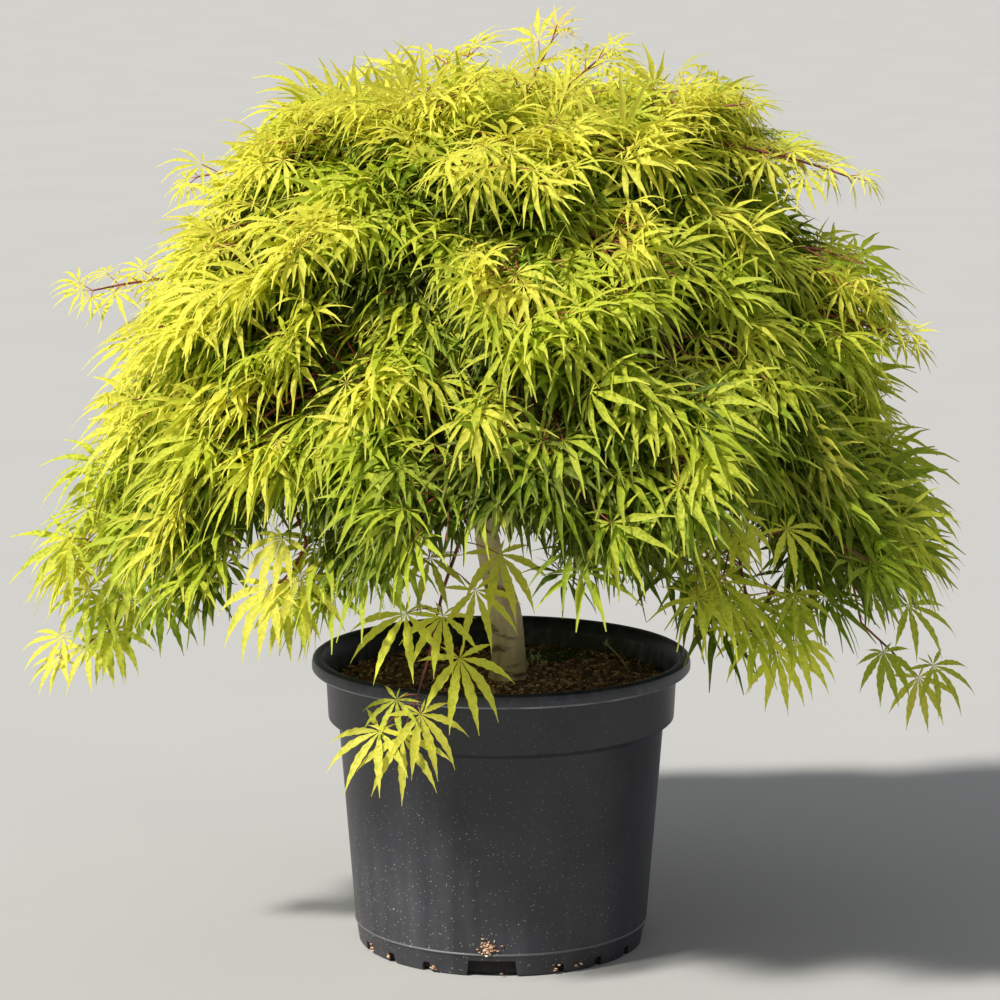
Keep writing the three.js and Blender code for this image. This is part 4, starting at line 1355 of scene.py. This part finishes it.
def pot_profile(pot):
    """Radius and height of the pot, from the underside up the outside, over the lip and down."""
    foot, rim, top = pot.foot_radius, pot.rim_radius, pot.height
    outside = [
        (foot - 0.012, FOOT_RECESS),
        (foot - 0.010, 0.0),
        (foot - 0.0012, 0.0),
        (foot, 0.0012),
        (FOOT_LINE_RADIUS - 0.0006, FOOT_LINE - 0.0010),
        (FOOT_LINE_RADIUS + 0.0008, FOOT_LINE - 0.0003),
        (FOOT_LINE_RADIUS + 0.0008, FOOT_LINE + 0.0004),
        (FOOT_LINE_RADIUS, FOOT_LINE + 0.0012),
        (BODY_TOP_RADIUS, COLLAR_FOOT - 0.0080),
        (BODY_TOP_RADIUS + 0.0010, COLLAR_FOOT - 0.0058),
        (COLLAR_RADIUS - 0.0034, COLLAR_FOOT - 0.0012),
        (COLLAR_RADIUS - 0.0022, COLLAR_FOOT),
        (COLLAR_RADIUS - 0.0020, COLLAR_FOOT + 0.0014),
        (COLLAR_RADIUS, LIP_FOOT - 0.0012),
        (COLLAR_RADIUS + 0.0012, LIP_FOOT),
        (rim - 0.0016, LIP_FOOT),
        (rim - 0.0002, LIP_FOOT + 0.0016),
        (rim, LIP_FOOT + 0.0060),
        (rim - 0.0010, top - 0.0020),
        (rim - 0.0034, top - 0.0002),
        (rim - 0.0058, top),
        (rim - 0.0090, top - 0.0010),
        (rim - 0.0112, top - 0.0040),
    ]
    return [*outside, *reversed(POT_INSIDE)]


def drain_block(size, azimuth):
    """A block for a drainage cut through the corner of wall and floor, narrower at its top."""
    clear_selection()
    bpy.ops.mesh.primitive_cube_add(size=1, location=(0, 0, 0))
    block = bpy.context.object
    block.scale = (size["low"], size["depth"] + CUT_OUTSIDE, size["height"] + CUT_BELOW)
    foot = bpy.context.scene.maple_pot.foot_radius
    middle_y = -(foot + (CUT_OUTSIDE - size["depth"]) / 2)
    block.location = (0, middle_y, (size["height"] - CUT_BELOW) / 2)
    bpy.ops.object.transform_apply(location=True, rotation=True, scale=True)
    bpy.ops.object.mode_set(mode="EDIT")
    bpy.ops.mesh.select_mode(type="VERT")
    bpy.ops.mesh.select_all(action="DESELECT")
    bpy.ops.object.mode_set(mode="OBJECT")
    for corner in block.data.vertices:
        corner.select = corner.co.z > 0
    bpy.ops.object.mode_set(mode="EDIT")
    bpy.ops.transform.resize(value=(size["high"] / size["low"], 1, 1), center_override=(0, 0, 0))
    bpy.ops.object.mode_set(mode="OBJECT")
    block.rotation_euler.z = azimuth * DEGREE
    bpy.ops.object.transform_apply(location=True, rotation=True, scale=True)
    return block


class MAPLE_OT_pot(bpy.types.Operator):
    """Turn the pot, cut its drainage and soften its edges"""

    bl_idname = "maple.pot"
    bl_label = "Pot"

    def execute(self, context):
        pot = context.scene.maple_pot
        obj = drawn_up(pot_profile(pot), POT_SIDES)
        cutters = []
        for k in range(SLOT["count"]):
            azimuth = SLOT["first"] + 360 / SLOT["count"] * k
            cutters.append(drain_block(SLOT, azimuth))
            cutters += [drain_block(SMALL_HOLE, azimuth - step) for step in SMALL_HOLE["steps"]]
        for cutter in cutters:
            cut = obj.modifiers.new("drain", "BOOLEAN")
            cut.operation = "DIFFERENCE"
            cut.object = cutter
        bevel = obj.modifiers.new("edges", "BEVEL")
        bevel.width = BEVEL_WIDTH
        bevel.segments = 2
        bevel.limit_method = "ANGLE"
        bevel.angle_limit = BEVEL_ANGLE * DEGREE
        apply_all(obj)
        for cutter in cutters:
            bpy.data.objects.remove(cutter)
        only(obj)
        bpy.ops.object.shade_smooth_by_angle(angle=SHARP_ANGLE * DEGREE)
        finish_piece(obj, "nursery_pot", plastic_material(pot), "pot_plastic", "pot")
        return {"FINISHED"}


def soil_height(radius):
    """The height of the compost's surface at a radius."""
    return mix(SOIL_MIDDLE, SOIL_EDGE, (radius / SOIL_RADIUS) ** 2)


def wall_radius(z):
    """The radius of the pot's outside at a height, from the foot to the collar."""
    if z < FOOT_LINE:
        return mix(bpy.context.scene.maple_pot.foot_radius, FOOT_LINE_RADIUS, z / FOOT_LINE)
    return mix(FOOT_LINE_RADIUS, BODY_TOP_RADIUS, (z - FOOT_LINE) / (COLLAR_FOOT - FOOT_LINE))


def foot_grit(rng, share):
    """Places for a share of the grains that stick to the pot's foot."""
    places = []
    for azimuth, height, spread, count in FOOT_GRIT:
        for _ in range(round(count * share)):
            z = max(height + rng.normal(0, spread), GRIT["lowest"])
            aside = rng.normal(0, spread) / FOOT_LINE_RADIUS / DEGREE
            places.append(polar(azimuth + aside, wall_radius(z) + GRIT["proud"], z))
    return np.array(places)


def soil_profile():
    """Radius and height of the compost, from the pot's floor up and in to the trunk."""
    inner = [(r - SOIL_GAP, z) for r, z in POT_INSIDE[:3]]
    floor = (inner[0][0], inner[0][1] + SOIL_FLOOR_GAP)
    edge = (SOIL_RADIUS - SOIL_ROUND[0], SOIL_EDGE - SOIL_ROUND[1])
    profile = [floor, *inner[1:], edge]
    for k in range(SOIL_RINGS):
        radius = SOIL_RADIUS * (1 - (k + 0.4) / SOIL_RINGS)
        profile.append((radius, soil_height(radius)))
    return profile


def chip():
    """An irregular chip of bark: a small rough pebble, flattened."""
    clear_selection()
    bpy.ops.mesh.primitive_ico_sphere_add(subdivisions=1, radius=0.5)
    obj = bpy.context.object
    bpy.ops.object.mode_set(mode="EDIT")
    bpy.ops.transform.vertex_random(offset=0.16, seed=3)
    bpy.ops.transform.resize(value=(1.0, 0.62, 0.40))
    bpy.ops.object.mode_set(mode="OBJECT")
    return arrays_of(obj)


def tumbled(rng, count):
    """Random turns, as matrices, that lie mostly flat."""
    spin = rng.uniform(0, 2 * math.pi, count)
    tip = rng.normal(0, 0.5, count)
    cos_s, sin_s, cos_t, sin_t = np.cos(spin), np.sin(spin), np.cos(tip), np.sin(tip)
    zero = np.zeros(count)
    rows = [
        [cos_s, -sin_s * cos_t, sin_s * sin_t],
        [sin_s, cos_s * cos_t, -cos_s * sin_t],
        [zero, sin_t, cos_t],
    ]
    return np.array(rows).transpose(2, 0, 1)


class MAPLE_OT_compost(bpy.types.Operator):
    """Fill the pot with rough compost, strew chips over it, and grow moss and small weeds"""

    bl_idname = "maple.compost"
    bl_label = "Compost"

    def execute(self, context):
        compost = context.scene.maple_compost
        obj = drawn_up(soil_profile(), SOIL_SIDES)
        top = obj.vertex_groups.new(name="top")
        high = [v.index for v in obj.data.vertices if v.co.z > CLODS_FROM]
        top.add(high, 1.0, "REPLACE")
        for size, strength in CLODS:
            texture = bpy.data.textures.new("clods", "CLOUDS")
            texture.noise_scale = size
            lumps = obj.modifiers.new("clods", "DISPLACE")
            lumps.texture = texture
            lumps.texture_coords = "LOCAL"
            lumps.direction = "Z"
            lumps.strength = strength
            lumps.vertex_group = "top"
        apply_all(obj)
        only(obj)
        bpy.ops.object.shade_smooth()
        finish_piece(obj, "compost_bed", compost_material(compost), "compost", "compost")
        shape = chip()
        self.strew(compost, shape)
        self.grow_moss(compost, shape)
        self.sow(compost)
        return {"FINISHED"}

    def strew(self, compost, shape):
        """Chips and grains in three tones, each tone one mesh."""
        rng = np.random.default_rng(11)
        for tone, share, size in CHIPS:
            count = int(compost.chips * share)
            radius = (SOIL_RADIUS - CHIP["wall"]) * np.sqrt(rng.uniform(CHIP["trunk"], 1, count))
            angle = rng.uniform(0, 2 * math.pi, count)
            height = soil_height(radius) + CHIP["proud"]
            strewn = np.stack([radius * np.cos(angle), radius * np.sin(angle), height], 1)
            stuck = foot_grit(rng, share)
            places = np.concatenate([strewn, stuck])
            sizes = size * rng.lognormal(0, CHIP["uneven"], count).clip(*CHIP["factors"])
            stuck_sizes = GRIT["size"] * rng.uniform(*GRIT["factors"], len(stuck))
            sizes = np.concatenate([sizes, stuck_sizes])
            chip_colour = getattr(compost, f"chip_{tone}")
            self.heap(f"chips_{tone}", shape, places, sizes, rng, chip_colour)

    def heap(self, name, shape, places, sizes, rng, heap_colour):
        """Many tumbled copies of a chip as one mesh with flat facets."""
        corners, triangles = copies(shape, places, tumbled(rng, len(places)), sizes)
        obj = mesh_of(name, corners, triangles)
        obj.data.polygons.foreach_set("use_smooth", np.zeros(len(triangles), bool))
        finish_piece(obj, name, grain_material(name, heap_colour), "compost")

    def grow_moss(self, compost, shape):
        """A patch of moss in small tufts."""
        rng = np.random.default_rng(12)
        count = MOSS["tufts"]
        reach = np.sqrt(rng.uniform(0, 1, count)) * rng.uniform(*MOSS["ragged"], count)
        angle = rng.uniform(0, 2 * math.pi, count)
        x = MOSS["x"] + MOSS["width"] * reach * np.cos(angle)
        y = MOSS["y"] + MOSS["depth"] * reach * np.sin(angle)
        places = np.stack([x, y, soil_height(np.hypot(x, y)) + MOSS["proud"]], 1)
        sizes = MOSS["tuft"] * rng.uniform(*MOSS["factors"], count)
        self.heap("moss", shape, places, sizes, rng, compost.moss)

    def sow(self, compost):
        """Small weeds with four leaves each, and the stalk that lies over the compost."""
        random = Random(5)
        blade = blade_of(model_lobe(PLAIN_ROWS), SEEDLING["blade"], SEEDLING["lobes"])
        limbs = [([Vector(point) for point in LYING_STALK], LYING_RADII)]
        tops = []
        for x, y in SEEDLINGS:
            foot = Vector((x, y, soil_height(math.hypot(x, y))))
            top = foot + UP * SEEDLING["tall"] * random.over(*SEEDLING["factor"])
            top += random.vector(SEEDLING["lean"])
            limbs.append(([foot, top], SEEDLING["radii"]))
            tops.append(top)
        tops.append(Vector(LYING_STALK[0]))
        spins = [random() * 2 * math.pi for _ in tops]
        tilt = Matrix.Rotation(SEEDLING["tilt"], 3, "X")
        turns = np.array([tilt @ Matrix.Rotation(spin, 3, "Z") for spin in spins])
        factors = [random.over(*SEEDLING["leaf_factor"]) for _ in tops]
        sizes = SEEDLING["leaf"] * np.array(factors)
        leaves = mesh_of("weed_leaves", *copies(blade, np.array(tops), turns, sizes))
        finish_piece(leaves, "weed_leaves", grain_material("weed_leaf", compost.seedling), "foliage")
        stalks = limbs_mesh("weed_stalks", limbs, 5)
        finish_piece(stalks, "weed_stalks", grain_material("weed_stalk", compost.seedling), "foliage")


class MAPLE_OT_wood(bpy.types.Operator):
    """Shape the trunk and boughs with the relief of bark, and grow the twigs"""

    bl_idname = "maple.wood"
    bl_label = "Trunk, boughs and twigs"

    def execute(self, context):
        tree = context.scene.maple_plant
        grown = plant()
        self.make_trunk(tree, grown)
        masses = [stem["name"] for stem in grown.stems]
        kinds = (
            ("stem", "stems_old_wood", 6, tree.old_wood, tree.red_wood, 0.6),
            ("twig", "twigs_red_wood", 4, tree.red_wood, tree.young_wood, 0.5),
            ("twiglet", "twiglets_young_wood", 3, tree.red_wood, tree.young_wood, 0.5),
            ("petiole", "leaf_stalks", 3, tree.young_wood, tree.stalk, 0.45),
        )
        for kind, name, sides, dark, light, roughness in kinds:
            obj = limbs_mesh(name, grown.limbs[kind], sides)
            material = wood_material(name + "_bark", dark, light, roughness)
            finish_piece(obj, name, material, "young_bark", *masses)
        return {"FINISHED"}

    def make_trunk(self, tree, grown):
        """Trunk and boughs fused into one skin, then roughened along the grain."""
        points = [Vector(row[:3]) for row in TRUNK_LINE]
        limbs = [smoothed(points, [row[3] for row in TRUNK_LINE])]
        for bough in grown.boughs:
            line = bough["line"]
            count = len(line.points) - 1
            radii = [mix(*bough["radius"], k / count) for k in range(count + 1)]
            limbs.append((line.points, radii))
        obj = limbs_mesh("trunk", limbs, TRUNK_SIDES)
        skin = obj.modifiers.new("skin", "REMESH")
        skin.mode = "VOXEL"
        skin.voxel_size = SKIN_GRID
        even = obj.modifiers.new("even", "SMOOTH")
        even.iterations = SKIN_SMOOTHING
        grain = bpy.data.objects.new("grain", None)
        grain.scale = (1, 1, FURROW_STRETCH)
        bpy.context.scene.collection.objects.link(grain)
        for size, strength in FURROWS:
            texture = bpy.data.textures.new("furrows", "CLOUDS")
            texture.noise_scale = size
            texture.noise_depth = 3
            furrows = obj.modifiers.new("furrows", "DISPLACE")
            furrows.texture = texture
            furrows.texture_coords = "OBJECT"
            furrows.texture_coords_object = grain
            furrows.strength = strength
        apply_all(obj)
        bpy.data.objects.remove(grain)
        only(obj)
        bpy.ops.object.shade_smooth()
        names = ["trunk", *[bough["name"] for bough in grown.boughs]]
        finish_piece(obj, "trunk_and_boughs", bark_material(tree), "bark", *names)


def smoothed(points, radii):
    """A limb through given points, with two more points in each step."""
    count = len(points)
    line, sizes = [], []
    for k in range(count - 1):
        before, after = points[max(k - 1, 0)], points[min(k + 2, count - 1)]
        a, b = points[k], points[k + 1]
        for share in (0, 1 / 3, 2 / 3):
            ease = share * share * (3 - 2 * share)
            start = a + (b - before) * 0.5 * share
            end = b - (after - a) * 0.5 * (1 - share)
            line.append(start.lerp(end, ease))
            sizes.append(mix(radii[k], radii[k + 1], share))
    return [*line, points[-1]], [*sizes, radii[-1]]


def model_lobe(rows):
    """One lobe of a leaf, a unit long: a strip with a fold along its midrib, shaped row by row."""
    clear_selection()
    steps = len(rows) - 1
    bpy.ops.mesh.primitive_grid_add(x_subdivisions=2, y_subdivisions=steps, size=2, location=(0, 0, 0))
    obj = bpy.context.object
    for corner in obj.data.vertices:
        along, half_width, lean = rows[round((corner.co.y + 1) * steps / 2)]
        side = round(corner.co.x)
        width = half_width * (1 + lean * side)
        corner.co = (side * width, along, LOBE_FOLD * abs(side) * width)
    only(obj)
    bpy.ops.object.mode_set(mode="EDIT")
    bpy.ops.mesh.select_all(action="SELECT")
    bpy.ops.mesh.remove_doubles(threshold=1e-5)
    bpy.ops.object.mode_set(mode="OBJECT")
    return arrays_of(obj)


def toothed_rows():
    """The rows of a finely toothed lobe, whose teeth lean to one side and the other in turn."""
    rows = [(0.0, 0.0, 0)]
    for k in range(1, TOOTHED["rows"]):
        along = k / TOOTHED["rows"]
        arch = math.sin(math.pi * along ** TOOTHED["widest"])
        rows.append((along, TOOTHED["width"] * arch ** TOOTHED["narrow"], TOOTHED["lean"] * (-1) ** k))
    return [*rows, (1.0, TOOTHED["tip"], 0)]


def blade_of(lobe, shape, lobes):
    """A whole blade: the lobe copied round the leaf's foot, each copy swept forward and curled."""
    corners, triangles = lobe
    all_corners, all_triangles = [], []
    uneven = Random(int(shape["spread"] * 1000) + 17)
    for k, (angle, share) in enumerate(lobes):
        turn = (angle * shape["spread"] + uneven.about(shape["uneven"])) * DEGREE
        bend = shape["sweep"] * (1 if angle >= 0 else -1) + 1e-4
        s = corners[:, 1]
        middle_x = (np.cos(turn - bend * s) - math.cos(turn)) / bend
        middle_y = (math.sin(turn) - np.sin(turn - bend * s)) / bend
        across_x, across_y = np.cos(turn - bend * s), -np.sin(turn - bend * s)
        x = middle_x + corners[:, 0] * across_x * shape["width"]
        y = middle_y + corners[:, 0] * across_y * shape["width"]
        z = corners[:, 2] - shape["curl"] * s**2
        all_corners.append(np.stack([x, y, z], 1) * share)
        all_triangles.append(triangles + k * len(corners))
    return np.concatenate(all_corners), np.concatenate(all_triangles)


def lobe_marks(lobe, lobes):
    """For each corner of a blade: how far along its lobe it is, and whether it is on the edge."""
    corners, _ = lobe
    along = corners[:, 1]
    edge = (np.abs(corners[:, 0]) > 1e-6).astype(float)
    one = np.stack([along, edge, np.zeros(len(along))], 1)
    return np.tile(one, (len(lobes), 1))


def leaf_arrays(leaves, blades):
    """A group of leaves as corners, triangles and marks, their lobes bent by their weight."""
    parts, faces, marked, base = [], [], [], 0
    for number, (blade, marks) in enumerate(blades):
        mine = [leaf for leaf in leaves if leaf["blade"] == number]
        if not mine:
            continue
        middle = np.array([leaf["middle"] for leaf in mine])
        face = np.array([leaf["face"] for leaf in mine])
        turns = np.stack([np.cross(middle, face), middle, face], 2)
        sizes = np.array([leaf["size"] for leaf in mine])
        spread, triangles = copies(blade, np.zeros((len(mine), 3)), turns, sizes)
        size = np.repeat(sizes, len(blade[0]))
        reach = np.linalg.norm(spread, axis=1)
        bent = spread.copy()
        bent[:, 2] -= BLADES[number]["droop"] * reach**3 / size**2
        bent *= (reach / np.maximum(np.linalg.norm(bent, axis=1), 1e-9))[:, None]
        feet = np.repeat(np.array([leaf["foot"] for leaf in mine]), len(blade[0]), axis=0)
        parts.append(bent + feet)
        faces.append(triangles + base)
        marked.append(np.tile(marks, (len(mine), 1)))
        base += len(bent)
    return np.concatenate(parts), np.concatenate(faces), np.concatenate(marked)


class MAPLE_OT_leaves(bpy.types.Operator):
    """Hang the leaves on their stalks, one mesh to each tint and grade"""

    bl_idname = "maple.leaves"
    bl_label = "Leaves"

    def execute(self, context):
        colours = context.scene.maple_leaves
        grown = plant()
        masses = [stem["name"] for stem in grown.stems]
        tones = {
            "young": (colours.young, colours.lemon),
            "pale": (colours.pale, colours.sunlit),
            "lemon": (colours.lemon, colours.lime),
            "sunlit": (colours.sunlit, colours.green),
            "lime": (colours.lime, colours.sunlit),
            "green": (colours.green, colours.lime),
            "deep_shade": (colours.deep_shade, colours.green),
        }
        materials = {tint: leaf_material(tint, *pair) for tint, pair in tones.items()}
        ordered = sorted(grown.leaves, key=lambda leaf: leaf["cover"])
        toothed = model_lobe(toothed_rows())
        first = 0
        for grade, share, rows, lobes in GRADES:
            last = int(len(ordered) * share)
            plain = model_lobe(rows)
            blades = []
            for number, shape in enumerate(BLADES):
                lobe = toothed if number >= BROAD_FROM else plain
                blades.append((blade_of(lobe, shape, lobes), lobe_marks(lobe, lobes)))
            for tint, material in materials.items():
                group = [leaf for leaf in ordered[first:last] if leaf["tint"] == tint]
                if group:
                    name = f"leaves_{tint}_{grade}"
                    obj = mesh_of(name, *leaf_arrays(group, blades))
                    finish_piece(obj, name, material, "foliage", *masses)
            first = last
        return {"FINISHED"}


class MAPLE_OT_stage(bpy.types.Operator):
    """Lay the floor, set the soft light and place the camera"""

    bl_idname = "maple.stage"
    bl_label = "Floor, light and camera"

    def execute(self, context):
        stage = context.scene.maple_stage
        clear_selection()
        bpy.ops.mesh.primitive_plane_add(size=FLOOR["size"], location=(0, 0, FLOOR["z"]))
        floor = bpy.context.object
        floor.name = "floor"
        n = Nodes("floor_paper")
        darker = [c * FLOOR["darker"] for c in stage.floor]
        paper = n.blend(n.ramp(n.noise(3), 0.3, 0.7), darker, stage.floor)
        n.link(paper, n.surface.inputs["Base Color"])
        n.set(Roughness=0.9)
        floor.data.materials.append(n.material)
        self.add_key(stage)
        world = bpy.data.worlds.new("studio")
        world.use_nodes = True
        background = world.node_tree.nodes["Background"]
        background.inputs["Color"].default_value = FILL_COLOUR
        background.inputs["Strength"].default_value = stage.fill
        context.scene.world = world
        context.scene.view_settings.view_transform = "Standard"
        self.add_camera(context, stage)
        return {"FINISHED"}

    def add_key(self, stage):
        """The key light: a broad soft sun from the left, a little in front."""
        data = bpy.data.lights.new("key", "SUN")
        data.energy = stage.key
        data.angle = KEY["width"] * DEGREE
        data.color = KEY["colour"]
        lamp = bpy.data.objects.new("key", data)
        height = KEY["height"] * DEGREE
        towards = polar(KEY["azimuth"], math.cos(height), math.sin(height))
        lamp.rotation_mode = "QUATERNION"
        lamp.rotation_quaternion = towards.to_track_quat("Z", "Y")
        bpy.context.scene.collection.objects.link(lamp)

    def add_camera(self, context, stage):
        """The camera, fitted to the pot's rim, collar and foot in the photograph."""
        data = bpy.data.cameras.new("camera")
        data.sensor_width = CAMERA["sensor"]
        data.lens = CAMERA["lens"]
        data.clip_end = CAMERA["sees_to"]
        camera = bpy.data.objects.new("camera", data)
        camera.location = (CAMERA["aside"], -stage.distance, stage.camera_height)
        camera.rotation_euler = (math.pi / 2 - CAMERA["tilt"], 0, 0)
        context.scene.collection.objects.link(camera)
        context.scene.camera = camera


OPERATORS = (MAPLE_OT_pot, MAPLE_OT_compost, MAPLE_OT_wood, MAPLE_OT_leaves, MAPLE_OT_stage)


class VIEW3D_PT_maple(bpy.types.Panel):
    """The maple's settings and the operators that make its pieces."""

    bl_label = "Potted maple"
    bl_space_type = "VIEW_3D"
    bl_region_type = "UI"
    bl_category = "Maple"

    def draw(self, context):
        for key, group in SETTINGS.items():
            box = self.layout.box()
            for name in group.__annotations__:
                box.prop(getattr(context.scene, key), name)
        for operator in OPERATORS:
            self.layout.operator(operator.bl_idname)


def register():
    """Makes the settings, the operators and the panel known to Blender."""
    for group in (*SETTINGS.values(), *OPERATORS, VIEW3D_PT_maple):
        bpy.utils.register_class(group)
    for key, group in SETTINGS.items():
        setattr(bpy.types.Scene, key, PointerProperty(type=group))


def unregister():
    """Takes them away again."""
    for key in SETTINGS:
        delattr(bpy.types.Scene, key)
    for group in reversed((*SETTINGS.values(), *OPERATORS, VIEW3D_PT_maple)):
        bpy.utils.unregister_class(group)


def main():
    """Makes every piece."""
    register()
    bpy.ops.maple.pot()
    bpy.ops.maple.compost()
    bpy.ops.maple.wood()
    bpy.ops.maple.leaves()
    bpy.ops.maple.stage()


if __name__ == "__main__":
    main()
